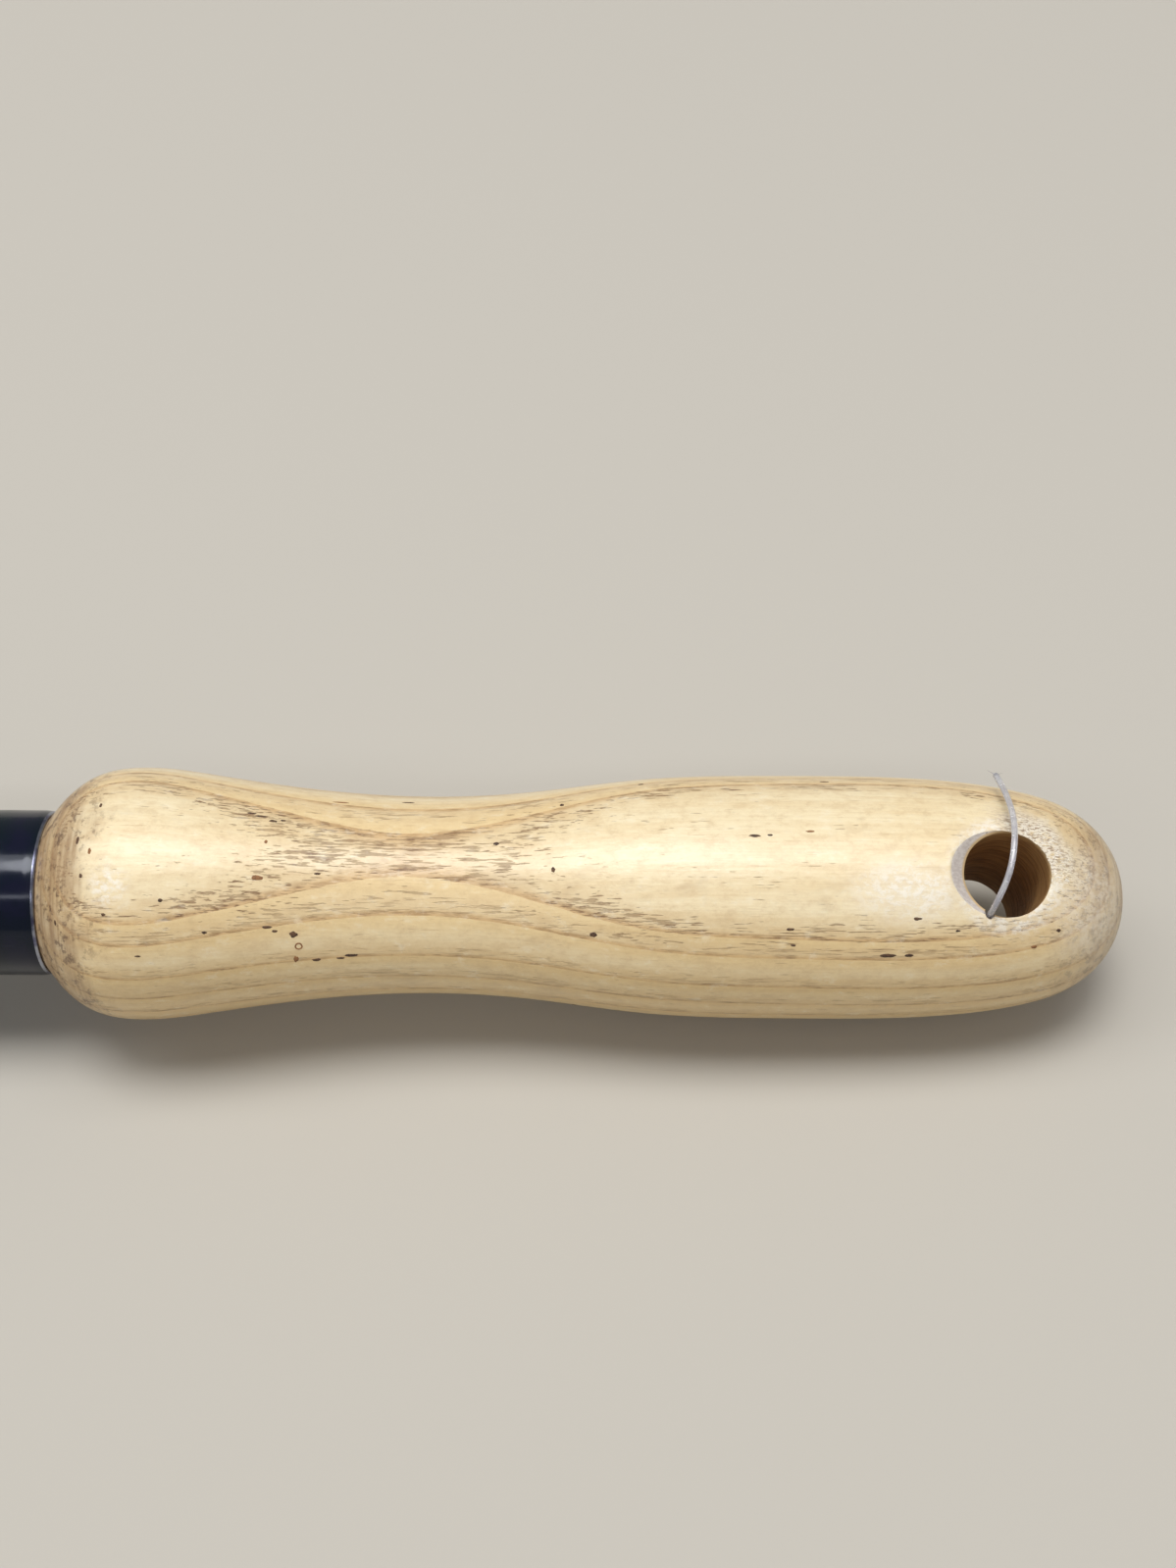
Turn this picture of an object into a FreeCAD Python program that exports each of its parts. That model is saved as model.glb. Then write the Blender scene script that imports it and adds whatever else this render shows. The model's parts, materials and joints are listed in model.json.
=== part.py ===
import FreeCAD, Part
import math
import os

import Sketcher
from FreeCAD import Placement, Rotation, Vector

# A push-along carpet sweeper with its long handle laid down on the floor behind it.
# Row frame: +X runs from the sweeping head to the grip, +Y lies along the brush, +Z is up, and the origin
# is under the middle of the whole object, on the floor. Lengths are in millimetres and angles in degrees.
# The head is drawn about its own centre and the handle about its own axis (u along it); both are then placed.

X_AXIS, Y_AXIS, Z_AXIS = Vector(1, 0, 0), Vector(0, 1, 0), Vector(0, 0, 1)

# ---------------------------------------------------------------------------------------------------------
# Driving dimensions
# ---------------------------------------------------------------------------------------------------------
DRIVING = {
    # pressed case
    "case_half_depth": 118.0,
    "case_half_width": 158.0,
    "case_floor_gap": 16.0,
    "case_crown_height": 104.0,
    "crown_radius": 330.0,
    "case_corner_radius": 36.0,
    "case_shoulder_radius": 20.0,
    "case_sheet": 1.2,
    # bumper band
    "bumper_thickness": 5.0,
    "bumper_low": 18.0,
    "bumper_height": 21.0,
    "bumper_round": 2.2,
    # inner end frames
    "frame_inner_face": 141.0,
    "frame_sheet": 2.0,
    "frame_foot": 108.0,
    "spacer_radius": 4.0,
    "rivet_radius": 2.0,
    # brush
    "brush_height": 41.0,
    "brush_radius": 40.0,
    "core_radius": 15.0,
    "core_half_length": 119.0,
    "spindle_radius": 3.0,
    "bearing_radius": 7.0,
    "bristle_half_length": 112.0,
    "bristle_row_width": 5.0,
    "bristle_rows": 4.0,
    "bristle_twist": 120.0,
    "drum_radius": 17.0,
    "drum_inner_face": 121.0,
    "drum_outer_face": 137.0,
    # wheels
    "wheel_radius": 27.0,
    "rim_radius": 21.0,
    "wheel_centre_y": 129.0,
    "tyre_width": 13.0,
    "hub_radius": 7.0,
    "axle_radius": 3.0,
    "running_gap": 0.06,
    "drive_gap": 0.3,
    # dust pans
    "pan_pivot_x": 104.0,
    "pan_pivot_height": 22.0,
    "pan_floor": 13.5,
    "pan_half_width": 116.0,
    "pan_outer_x": 107.5,
    "pan_top": 40.0,
    "pan_lip_radius": 43.0,
    "pan_sheet": 1.2,
    "pan_rod_radius": 2.0,
    "crank_arm": 11.7,
    "crank_half_swing": 20.0,
    "crank_pin_radius": 1.5,
    # dump button and yoke
    "button_half_length": 40.0,
    "button_half_width": 12.0,
    "button_top": 113.0,
    "strap_top": 93.0,
    "strap_thickness": 3.0,
    "yoke_plate_inner": 126.0,
    "yoke_sheet": 1.5,
    "leg_centre_x": 93.0,
    "shelf_height": 66.0,
    "shelf_centre_y": 134.0,
    # bail and handle
    "pivot_height": 62.0,
    "pivot_radius": 4.0,
    "bail_wire_radius": 4.5,
    "bail_half_width": 169.0,
    "bail_reach": 150.0,
    "bail_bend_radius": 40.0,
    "eye_radius": 10.5,
    "eye_thickness": 5.0,
    "tube_radius": 9.525,
    "tube_wall": 0.9,
    "lower_tube_start": 174.0,
    "lower_tube_end": 521.0,
    "coupling_collar": 6.0,
    "middle_tube_end": 778.0,
    "upper_tube_end": 1030.0,
    "plug_reach": 30.0,
    "plug_clearance": 0.025,
    # grip
    "grip_length": 122.8,
    "grip_rest_station": 98.5,
    "grip_rest_radius": 13.77,
    "tenon_length": 45.0,
    "hang_hole_radius": 4.76,
    "hang_hole_station": 107.5,
    "hang_hole_turn": 24.5,
    "countersink_radius": 6.76,
    "countersink_height": 14.0,
    "grip_floor_gap": 0.2,
    "filament_radius": 0.35,
    "chafe_radius": 0.5,
}

doc = FreeCAD.newDocument("CarpetSweeper")
sheet = doc.addObject("Spreadsheet::Sheet", "sizes")
for row, (alias, value) in enumerate(DRIVING.items(), start=1):
    sheet.set(f"A{row}", alias)
    sheet.set(f"B{row}", str(value))
    sheet.setAlias(f"B{row}", alias)
doc.recompute()


class Size:
    """A dimension that knows its value now and the expression over the sheet that gives it."""

    def __init__(self, value, text=None):
        self.value = float(value)
        self.text = text or repr(float(value))

    def _join(self, other, sign, result):
        return Size(result, f"({self.text} {sign} {other.text})")

    def __add__(self, other):
        other = as_size(other)
        return self._join(other, "+", self.value + other.value)

    def __sub__(self, other):
        other = as_size(other)
        return self._join(other, "-", self.value - other.value)

    def __mul__(self, other):
        other = as_size(other)
        return self._join(other, "*", self.value * other.value)

    def __neg__(self):
        return Size(-self.value, f"(-{self.text})")

    def root(self):
        return Size(math.sqrt(self.value), f"sqrt({self.text})")


def as_size(value):
    return value if isinstance(value, Size) else Size(value)


class Sizes:
    """Reads a cell of the sheet by its alias, as sizes.wheel_radius."""

    def __getattr__(self, alias):
        return Size(sheet.get(alias), f"sizes.{alias}")


sizes = Sizes()


def number(alias):
    """The plain value of a cell, for placements and for shapes made in code."""
    return float(sheet.get(alias))


# ---------------------------------------------------------------------------------------------------------
# Where the head and the handle stand in the row frame
# ---------------------------------------------------------------------------------------------------------
# The handle leans down from the bail's pivot until the underside of the grip is on the floor.
rest_reach = number("upper_tube_end") + number("grip_rest_station")
rest_radius = number("grip_rest_radius")
rest_drop = number("pivot_height") - number("grip_floor_gap")
HANDLE_SLOPE = math.degrees(
    math.asin(rest_drop / math.hypot(rest_reach, rest_radius)) - math.atan2(rest_radius, rest_reach)
)
head_front = number("case_half_depth") + number("bumper_thickness")
grip_tip = number("upper_tube_end") + number("grip_length")
GRIP_END_X = grip_tip * math.cos(math.radians(HANDLE_SLOPE))
HEAD_X = -(GRIP_END_X - head_front) / 2
HEAD = Placement(Vector(HEAD_X, 0, 0), Rotation())
HANDLE = Placement(Vector(HEAD_X, 0, number("pivot_height")), Rotation(Y_AXIS, HANDLE_SLOPE))
WHEEL_X = math.sqrt(
    (number("wheel_radius") + number("drum_radius") + number("drive_gap")) ** 2
    - (number("brush_height") - number("wheel_radius")) ** 2
)
AXLE_HEIGHT = number("wheel_radius")

nodes = {}


def node(label, feature, placement=HEAD):
    """Names a finished sub-part and puts it in the row frame."""
    feature.Label = label
    feature.Placement = placement.multiply(feature.Placement)
    nodes[label] = feature
    return feature


# ---------------------------------------------------------------------------------------------------------
# Building blocks
# ---------------------------------------------------------------------------------------------------------
def bind(feature, **properties):
    for name, size in properties.items():
        setattr(feature, name, as_size(size).value)
        if "sizes." in as_size(size).text:
            feature.setExpression(name, size.text)
    return feature


def along(axis, at):
    """A placement that stands a Z-directed primitive along an axis, with its base at a point."""
    return Placement(Vector(*at), Rotation(Z_AXIS, axis))


def cylinder(name, radius, height, at=(0, 0, 0), axis=Z_AXIS):
    feature = bind(doc.addObject("Part::Cylinder", name), Radius=radius, Height=height)
    feature.Placement = along(axis, at)
    return feature


def cone(name, first_radius, last_radius, height, at=(0, 0, 0), axis=Z_AXIS):
    feature = doc.addObject("Part::Cone", name)
    bind(feature, Radius1=first_radius, Radius2=last_radius, Height=height)
    feature.Placement = along(axis, at)
    return feature


def box(name, length, width, height, at=(0, 0, 0)):
    feature = bind(doc.addObject("Part::Box", name), Length=length, Width=width, Height=height)
    feature.Placement = Placement(Vector(*at), Rotation())
    return feature


def dome(name, radius, height, at, axis):
    """A rivet or screw head: a spherical cap standing on its flat face."""
    r, h = as_size(radius).value, as_size(height).value
    ball_radius = (r * r + h * h) / (2 * h)
    feature = doc.addObject("Part::Sphere", name)
    feature.Radius = ball_radius
    feature.Angle1 = math.degrees(math.asin((ball_radius - h) / ball_radius))
    offset = Vector(axis).normalize() * (h - ball_radius)
    feature.Placement = along(axis, Vector(*at) + offset)
    return feature


def cut(name, base, *tools):
    feature = doc.addObject("Part::Cut", name)
    feature.Base = base
    feature.Tool = tools[0] if len(tools) == 1 else fuse(name + "_tools", *tools)
    return feature


def fuse(name, *parts):
    feature = doc.addObject("Part::MultiFuse", name)
    feature.Shapes = list(parts)
    return feature


def common(name, base, tool):
    feature = doc.addObject("Part::Common", name)
    feature.Base, feature.Tool = base, tool
    return feature


def group(name, *parts):
    """Identical separate pieces kept together as one node."""
    feature = doc.addObject("Part::Compound", name)
    feature.Links = list(parts)
    return feature


def shaped(name, shape):
    feature = doc.addObject("Part::Feature", name)
    feature.Shape = shape
    return feature


def edges_where(shape, test):
    return [i + 1 for i, edge in enumerate(shape.Edges) if test(edge.BoundBox)]


def rounded(name, base, radius, test):
    """Part fillet on the edges whose bounding box passes the test."""
    doc.recompute()
    feature = doc.addObject("Part::Fillet", name)
    feature.Base = base
    r = as_size(radius).value
    feature.Edges = [(i, r, r) for i in edges_where(base.Shape, test)]
    return feature


def upright(bounds):
    return bounds.XLength < 1e-6 and bounds.YLength < 1e-6


def rounded_block(name, half_x, half_y, low, height, corner):
    """A block centred on the Z axis whose upright edges are rounded."""
    block = box(name + "_block", half_x * 2, half_y * 2, height)
    block.Placement = Placement(Vector(-half_x.value, -half_y.value, as_size(low).value), Rotation())
    return rounded(name, block, corner, upright)


def new_body(name):
    return doc.addObject("PartDesign::Body", name)


def sketch_on(body, role, name):
    sketch = body.newObject("Sketcher::SketchObject", name)
    plane = next(f for f in body.Origin.OriginFeatures if f.Role == role)
    sketch.AttachmentSupport = (plane, [""])
    sketch.MapMode = "FlatFace"
    return sketch


def outline(sketch, corners, arcs=None):
    """A closed outline. Each corner is a pair of sizes held by its own two dimensions. arcs maps a side's
    number to (point on the arc, radius), and any other side is straight. Arcs run counter-clockwise."""
    arcs = arcs or {}
    corners = [(as_size(x), as_size(y)) for x, y in corners]
    count = len(corners)
    ends = []
    for i, (x, y) in enumerate(corners):
        here = Vector(x.value, y.value, 0)
        there = Vector(corners[(i + 1) % count][0].value, corners[(i + 1) % count][1].value, 0)
        if i in arcs:
            middle = Vector(*[as_size(c).value for c in arcs[i][0]], 0)
            forward = (middle - here).cross(there - middle).z > 0
            first, last = (here, there) if forward else (there, here)
            sketch.addGeometry(Part.Arc(first, middle, last), False)
        else:
            forward = True
            sketch.addGeometry(Part.LineSegment(here, there), False)
        ends.append((1, 2) if forward else (2, 1))
    for i in range(count):
        after = (i + 1) % count
        sketch.addConstraint(Sketcher.Constraint("Coincident", i, ends[i][1], after, ends[after][0]))
    for i, corner in enumerate(corners):
        for kind, size in zip(("DistanceX", "DistanceY"), corner):
            hold(sketch, size, kind, -1, 1, i, ends[i][0])
    for i, (_, radius) in arcs.items():
        hold(sketch, as_size(radius), "Radius", i)
    return sketch


def hold(sketch, size, *constraint):
    index = sketch.addConstraint(Sketcher.Constraint(*constraint, size.value))
    if "sizes." in size.text:
        sketch.setExpression(f"Constraints[{index}]", size.text)


def pad(body, sketch, length, side="Symmetric"):
    feature = body.newObject("PartDesign::Pad", sketch.Name + "_pad")
    feature.Profile = sketch
    bind(feature, Length=length)
    feature.SideType = side
    return feature


def revolve(body, sketch, axis="H_Axis"):
    feature = body.newObject("PartDesign::Revolution", sketch.Name + "_turned")
    feature.Profile = sketch
    feature.ReferenceAxis = (sketch, [axis])
    feature.Angle = 360
    return feature


def body_fillet(body, base, radius, test):
    doc.recompute()
    feature = body.newObject("PartDesign::Fillet", base.Name + "_round")
    feature.Base = (base, [f"Edge{i}" for i in edges_where(base.Shape, test)])
    bind(feature, Radius=radius)
    return feature


def thin_walled(body, base, sheet_size, open_face):
    """Hollows the body inwards from the one face that passes the test."""
    doc.recompute()
    feature = body.newObject("PartDesign::Thickness", base.Name + "_hollow")
    feature.Base = (base, [f"Face{i + 1}" for i, f in enumerate(base.Shape.Faces) if open_face(f.BoundBox)])
    feature.Reversed = True
    bind(feature, Value=sheet_size)
    return feature


def turned(name, corners, arcs=None):
    """A turned piece. Corners are (station along Y, radius), and its axis is the Y axis."""
    body = new_body(name)
    revolve(body, outline(sketch_on(body, "XZ_Plane", name + "_profile"), corners, arcs))
    body.Placement = Placement(Vector(), Rotation(X_AXIS, Y_AXIS))
    return body


def mirrored_pair(label, make, sides=("left", "right")):
    """Makes a handed piece for both ends of the head: make(side) with side -1 for left and 1 for right."""
    for word, side in zip(sides, (-1, 1)):
        node(f"{label}_{word}", make(f"{label}_{word}", side))


def at_side(side, y):
    return side * as_size(y).value


# ---------------------------------------------------------------------------------------------------------
# Pressed case, bumper and trim
# ---------------------------------------------------------------------------------------------------------
def crown_height(half_depth):
    """Height of the crowned top at a distance in front of or behind the middle."""
    flank = sizes.crown_radius * sizes.crown_radius - half_depth * half_depth
    return sizes.case_crown_height - sizes.crown_radius + flank.root()


def case_shell():
    body = new_body("case_pressing")
    half = sizes.case_half_depth
    low, shoulder = sizes.case_floor_gap, crown_height(sizes.case_half_depth)
    profile = outline(
        sketch_on(body, "XZ_Plane", "case_profile"),
        [(-half, low), (half, low), (half, shoulder), (-half, shoulder)],
        {2: ((0, sizes.case_crown_height), sizes.crown_radius)},
    )
    block = pad(body, profile, sizes.case_half_width * 2)
    corners = body_fillet(body, block, sizes.case_corner_radius, upright)
    shoulder_low = shoulder.value - 1
    shoulders = body_fillet(body, corners, sizes.case_shoulder_radius, lambda b: b.ZMin > shoulder_low)
    thin_walled(body, shoulders, sizes.case_sheet, lambda b: b.ZMax < low.value + 0.01)
    return body


def crown_seat(x, y):
    """A point on the crowned top and the direction that stands square to it there."""
    lean = math.asin(x / number("crown_radius"))
    outward = Vector(math.sin(lean), 0, math.cos(lean))
    centre = Vector(0, y, number("case_crown_height") - number("crown_radius"))
    return centre + outward * number("crown_radius"), outward


BUTTON_GAP = 0.5
RIVETED_X, RIVETED_Z = (52.0, 77.0), (74.0, 47.0)
COMB_RIVET_Y = (-94.0, 0.0, 94.0)
COMB_RIVET_X = 39.0
COMB_RIVET_RADIUS = 1.6


def button_slot(name, gap, low, height):
    corner = sizes.button_half_width + (gap - 1)
    return rounded_block(
        name, sizes.button_half_width + gap, sizes.button_half_length + gap, low, height, corner
    )


def frame_rivet_places():
    for side in (-1, 1):
        for x, z in zip(RIVETED_X, RIVETED_Z):
            yield side, x, z
            yield side, -x, z


def case_cover():
    side_span = (sizes.case_half_width + 5) * 2
    start = -side_span.value / 2
    openings = [button_slot("button_slot", BUTTON_GAP, 90, 30)]
    openings.append(
        cylinder("pivot_holes", sizes.pivot_radius, side_span, (0, start, number("pivot_height")), Y_AXIS)
    )
    for i, (x, z) in enumerate(
        (sx * x, z) for x, z in zip(RIVETED_X, RIVETED_Z) for sx in (-1, 1)
    ):
        openings.append(cylinder(f"rivet_holes_{i}", sizes.rivet_radius, side_span, (x, start, z), Y_AXIS))
    for i, y in enumerate(COMB_RIVET_Y):
        seat, outward = crown_seat(COMB_RIVET_X, y)
        openings.append(cylinder(f"comb_hole_{i}", COMB_RIVET_RADIUS, 20, seat - outward * 10, outward))
    return cut("case", case_shell(), *openings)


def bumper():
    grow = sizes.bumper_thickness
    outer = rounded_block(
        "bumper_outside",
        sizes.case_half_depth + grow,
        sizes.case_half_width + grow,
        number("bumper_low"),
        sizes.bumper_height,
        sizes.case_corner_radius + grow,
    )
    softened = rounded("bumper_soft", outer, sizes.bumper_round, lambda b: b.ZLength < 1e-6)
    inner = rounded_block(
        "bumper_inside",
        sizes.case_half_depth,
        sizes.case_half_width,
        number("bumper_low") - 1,
        sizes.bumper_height + 2,
        sizes.case_corner_radius,
    )
    return cut("bumper_band", softened, inner)


def crown_skin(name, thickness):
    """A thin layer that lies on the crowned top of the case."""
    axis_height = number("case_crown_height") - number("crown_radius")
    span = 320
    start = (0, -span / 2, axis_height)
    outer = cylinder(name + "_outer", sizes.crown_radius + thickness, span, start, Y_AXIS)
    inner = cylinder(name + "_inner", sizes.crown_radius, span, start, Y_AXIS)
    return cut(name, outer, inner)


def button_escutcheon():
    rim = cut("rim", button_slot("rim_outer", 6, 95, 20), button_slot("rim_inner", BUTTON_GAP, 94, 22))
    return common("escutcheon", crown_skin("rim_layer", 1.5), rim)


def trim_strips():
    half_length, width = 76.0, 4.0
    bars = []
    for side in (-1, 1):
        for i, y in enumerate((62.0, 72.0, 82.0)):
            at = (-half_length, side * y - width / 2, 85)
            bars.append(box(f"strip_{side + 1}_{i}", 2 * half_length, width, 30, at))
    return common("strips", crown_skin("strip_layer", 1.2), group("strip_bars", *bars))


def bristle_comb():
    """A sheet-steel comb under the cover whose teeth end a millimetre short of the bristle tips."""
    body = new_body("comb_pressing")
    lean = math.radians(62)
    sheet_thickness = 1.0
    tip, back = number("brush_radius") + 1.0, number("brush_radius") + 27.8
    inward = Vector(math.cos(lean), math.sin(lean), 0)
    across = Vector(math.sin(lean), -math.cos(lean), 0) * sheet_thickness
    centre = Vector(0, number("brush_height"), 0)
    root, end = centre + inward * back, centre + inward * tip
    flange_far = Vector(47.0, under_crown(47.0), 0)
    flange_near = Vector(root.x, under_crown(root.x), 0)
    down = Vector(0, -sheet_thickness, 0)
    bend = root + across - inward * 0.8
    corners = [end, flange_near, flange_far, flange_far + down, bend, end + across]
    profile = outline(sketch_on(body, "XZ_Plane", "comb_profile"), [(p.x, p.y) for p in corners])
    pad(body, profile, 2 * COMB_HALF_LENGTH)
    pitch, gap, depth = 6.0, 3.0, 9.0
    count = int(2 * COMB_HALF_LENGTH / pitch)
    gaps = []
    for i in range(count):
        y = -COMB_HALF_LENGTH + pitch * i + gap
        gap_box = box(f"comb_gap_{i}", depth * 2, gap, 4)
        turn = Rotation(Y_AXIS, -math.degrees(lean))
        middle = Vector(end.x, y, end.y) - Vector(inward.x, 0, inward.y) * depth
        offset = turn.multVec(Vector(0, 0, -2))
        gap_box.Placement = Placement(middle + offset, turn)
        gaps.append(gap_box)
    holes = []
    for i, y in enumerate(COMB_RIVET_Y):
        seat, outward = crown_seat(COMB_RIVET_X, y)
        holes.append(cylinder(f"comb_rivet_hole_{i}", COMB_RIVET_RADIUS, 20, seat - outward * 10, outward))
    return cut("comb", body, *gaps, *holes)


COMB_HALF_LENGTH = 108.0


def under_crown(x):
    """Height just below the inside of the cover."""
    inner_radius = number("crown_radius") - number("case_sheet")
    centre = number("case_crown_height") - number("crown_radius")
    return centre + math.sqrt(inner_radius**2 - x * x) - 0.1


def comb_rivets():
    parts = []
    grip_length = number("case_sheet") + 1.45
    for i, y in enumerate(COMB_RIVET_Y):
        seat, outward = crown_seat(COMB_RIVET_X, y)
        foot = seat - outward * grip_length
        shank = cylinder(f"comb_rivet_{i}", COMB_RIVET_RADIUS, grip_length, foot, outward)
        head = dome(f"comb_rivet_head_{i}", 3.2, 1.4, seat, outward)
        tail = dome(f"comb_rivet_tail_{i}", 2.6, 1.0, foot, -outward)
        parts.append(fuse(f"comb_rivet_whole_{i}", shank, head, tail))
    return group("comb_rivet_set", *parts)


node("case_cover", case_cover())
node("bumper", bumper())
node("button_escutcheon", button_escutcheon())
node("trim_strips", trim_strips())
node("bristle_comb", bristle_comb())
node("comb_rivets", comb_rivets())


# ---------------------------------------------------------------------------------------------------------
# End frames that carry the brush, the pans and the bail
# ---------------------------------------------------------------------------------------------------------
SHELF_HALF_WIDTH, SHELF_SHEET = 8.0, 2.0
STRIP_RIVET_X, STRIP_RIVET_Z = 12.0, 56.0
SPRING_HOOK_X, SPRING_HOOK_Z = 100.6, 34.0


def axle_slot(name, x, start):
    """An upright slot that lets the axle rise and fall with its spring strip."""
    half_width, travel = number("axle_radius") + 0.2, 3.0
    ends = [
        cylinder(f"{name}_{i}", half_width, 10, (x, start, AXLE_HEIGHT + rise), Y_AXIS)
        for i, rise in enumerate((-travel, travel))
    ]
    corner = (x - half_width, start, AXLE_HEIGHT - travel)
    middle = box(name + "_middle", 2 * half_width, 10, 2 * travel, corner)
    return fuse(name, *ends, middle)


def end_frame(name, side):
    foot = sizes.frame_foot
    body = new_body(name + "_plate")
    half = [(foot, 16), (foot, 40), (86, 80), (60, 91)]
    corners = half + [(-as_size(x), y) for x, y in reversed(half)]
    pad(body, outline(sketch_on(body, "XZ_Plane", name + "_profile"), corners), sizes.frame_sheet)
    middle = number("frame_inner_face") + number("frame_sheet") / 2
    body.Placement = Placement(Vector(0, at_side(side, middle), 0), Rotation())
    shelf_inner = number("shelf_centre_y") - 5.5
    shelf_reach = middle - shelf_inner
    shelf_y = shelf_inner if side > 0 else -middle
    shelf = box(
        name + "_shelf", 2 * SHELF_HALF_WIDTH, shelf_reach, SHELF_SHEET,
        (-SHELF_HALF_WIDTH, shelf_y, number("shelf_height") - SHELF_SHEET),
    )
    start = at_side(side, middle) - 5
    holes = [
        cylinder(name + "_bearing", sizes.bearing_radius, 10, (0, start, number("brush_height")), Y_AXIS),
        cylinder(name + "_pivot", sizes.pivot_radius, 10, (0, start, number("pivot_height")), Y_AXIS),
    ]
    for sx in (-1, 1):
        rod_at = (sx * number("pan_pivot_x"), start, number("pan_pivot_height"))
        holes.append(cylinder(f"{name}_rod_{sx + 1}", sizes.pan_rod_radius, 10, rod_at, Y_AXIS))
        holes.append(axle_slot(f"{name}_axle_{sx + 1}", sx * WHEEL_X, start))
        hook_at = (sx * SPRING_HOOK_X, start, SPRING_HOOK_Z)
        holes.append(cylinder(f"{name}_hook_{sx + 1}", 0.6, 10, hook_at, Y_AXIS))
        strip_at = (sx * STRIP_RIVET_X, start, STRIP_RIVET_Z)
        holes.append(cylinder(f"{name}_strip_{sx + 1}", COMB_RIVET_RADIUS, 10, strip_at, Y_AXIS))
        for x, z in zip(RIVETED_X, RIVETED_Z):
            at = (sx * x, start, z)
            holes.append(cylinder(f"{name}_rivet_{sx + 1}_{int(x)}", sizes.rivet_radius, 10, at, Y_AXIS))
    return cut(name + "_cut", fuse(name + "_formed", body, shelf), *holes)


def spacer_set():
    inner = number("frame_inner_face") + number("frame_sheet")
    outer = number("case_half_width") - number("case_sheet")
    parts = []
    for i, (side, x, z) in enumerate(frame_rivet_places()):
        at = (x, inner if side > 0 else -outer, z)
        tube = cylinder(f"spacer_{i}", sizes.spacer_radius, outer - inner, at, Y_AXIS)
        bore = cylinder(f"spacer_bore_{i}", sizes.rivet_radius, outer - inner, at, Y_AXIS)
        parts.append(cut(f"spacer_tube_{i}", tube, bore))
    return group("spacers", *parts)


def frame_rivets():
    inner, outer = number("frame_inner_face"), number("case_half_width")
    parts = []
    for i, (side, x, z) in enumerate(frame_rivet_places()):
        outward = Y_AXIS * side
        start = (x, inner if side > 0 else -outer, z)
        shank = cylinder(f"rivet_{i}", sizes.rivet_radius, outer - inner, start, Y_AXIS)
        head = dome(f"rivet_head_{i}", 4.0, 1.8, (x, side * outer, z), outward)
        tail = dome(f"rivet_tail_{i}", 3.0, 1.2, (x, side * inner, z), -outward)
        parts.append(fuse(f"rivet_whole_{i}", shank, head, tail))
    return group("rivets", *parts)


PIVOT_COLLAR, PIVOT_HEAD = 9.0, 8.5


def pivot_stud(name, side):
    """Stud that the bail turns on: shank, collar against the case and a domed head outside the bail's eye."""
    eye_half = number("eye_thickness") / 2
    collar_end = number("bail_half_width") - eye_half - 0.3
    head_start = number("bail_half_width") + eye_half + 0.3
    wall = number("case_half_width")
    radius, inner = number("pivot_radius"), number("frame_inner_face")
    tip, crown = head_start + 3.0, ((head_start + 2.1), 5.0)
    corners = [
        (inner, 0), (inner, radius), (wall, radius), (wall, PIVOT_COLLAR), (collar_end, PIVOT_COLLAR),
        (collar_end, radius), (head_start, radius), (head_start, PIVOT_HEAD), (tip, 0),
    ]
    stud = turned(name + "_turning", corners, {7: (crown, dome_radius(PIVOT_HEAD, 3.0))})
    facing = Rotation(X_AXIS, Y_AXIS) if side > 0 else Rotation(X_AXIS, -Y_AXIS)
    stud.Placement = Placement(Vector(0, 0, number("pivot_height")), facing)
    return stud


def dome_radius(radius, height):
    return (radius * radius + height * height) / (2 * height)


mirrored_pair("frame", end_frame)
node("frame_spacers", spacer_set())
node("frame_rivets", frame_rivets())
mirrored_pair("pivot_stud", pivot_stud)


# ---------------------------------------------------------------------------------------------------------
# Wheels on their spring strips
# ---------------------------------------------------------------------------------------------------------
STRIP_SHEET = 1.4
AXLE_END = 119.0


def wheel_spring(name, side):
    """A flat spring strip that hugs the frame, holds both axles and presses the tyres on the drive drum."""
    body = new_body(name + "_strip")
    half = [(WHEEL_X + 6, 20), (WHEEL_X + 6, 34), (19, 60)]
    under = [(13, 51.5), (WHEEL_X - 8, 30), (WHEEL_X - 6, 20)]
    corners = half + [(-x, z) for x, z in reversed(half)] + [(-x, z) for x, z in reversed(under)] + under
    pad(body, outline(sketch_on(body, "XZ_Plane", name + "_profile"), corners), STRIP_SHEET)
    middle = number("frame_inner_face") - STRIP_SHEET / 2
    body.Placement = Placement(Vector(0, at_side(side, middle), 0), Rotation())
    start = at_side(side, middle) - 3
    holes = []
    for sx in (-1, 1):
        axle_at, rivet_at = (sx * WHEEL_X, start, AXLE_HEIGHT), (sx * STRIP_RIVET_X, start, STRIP_RIVET_Z)
        holes.append(cylinder(f"{name}_axle_{sx + 1}", sizes.axle_radius, 6, axle_at, Y_AXIS))
        holes.append(cylinder(f"{name}_rivet_{sx + 1}", COMB_RIVET_RADIUS, 6, rivet_at, Y_AXIS))
    return cut(name + "_cut", body, *holes)


def strip_rivets():
    """Rivets that hold the spring strips to the end frames."""
    frame_face = number("frame_inner_face")
    inner, outer = frame_face - STRIP_SHEET, frame_face + number("frame_sheet")
    parts = []
    for side in (-1, 1):
        for sx in (-1, 1):
            name, outward = f"strip_rivet_{side + 1}_{sx + 1}", Y_AXIS * side
            at = (sx * STRIP_RIVET_X, side * inner, STRIP_RIVET_Z)
            shank = cylinder(name, COMB_RIVET_RADIUS, outer - inner, at, outward)
            head = dome(name + "_head", 2.8, 1.0, at, -outward)
            tail = dome(name + "_tail", 2.8, 1.0, (at[0], side * outer, at[2]), outward)
            parts.append(fuse(name + "_whole", shank, head, tail))
    return group("strip_rivet_set", *parts)


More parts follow.
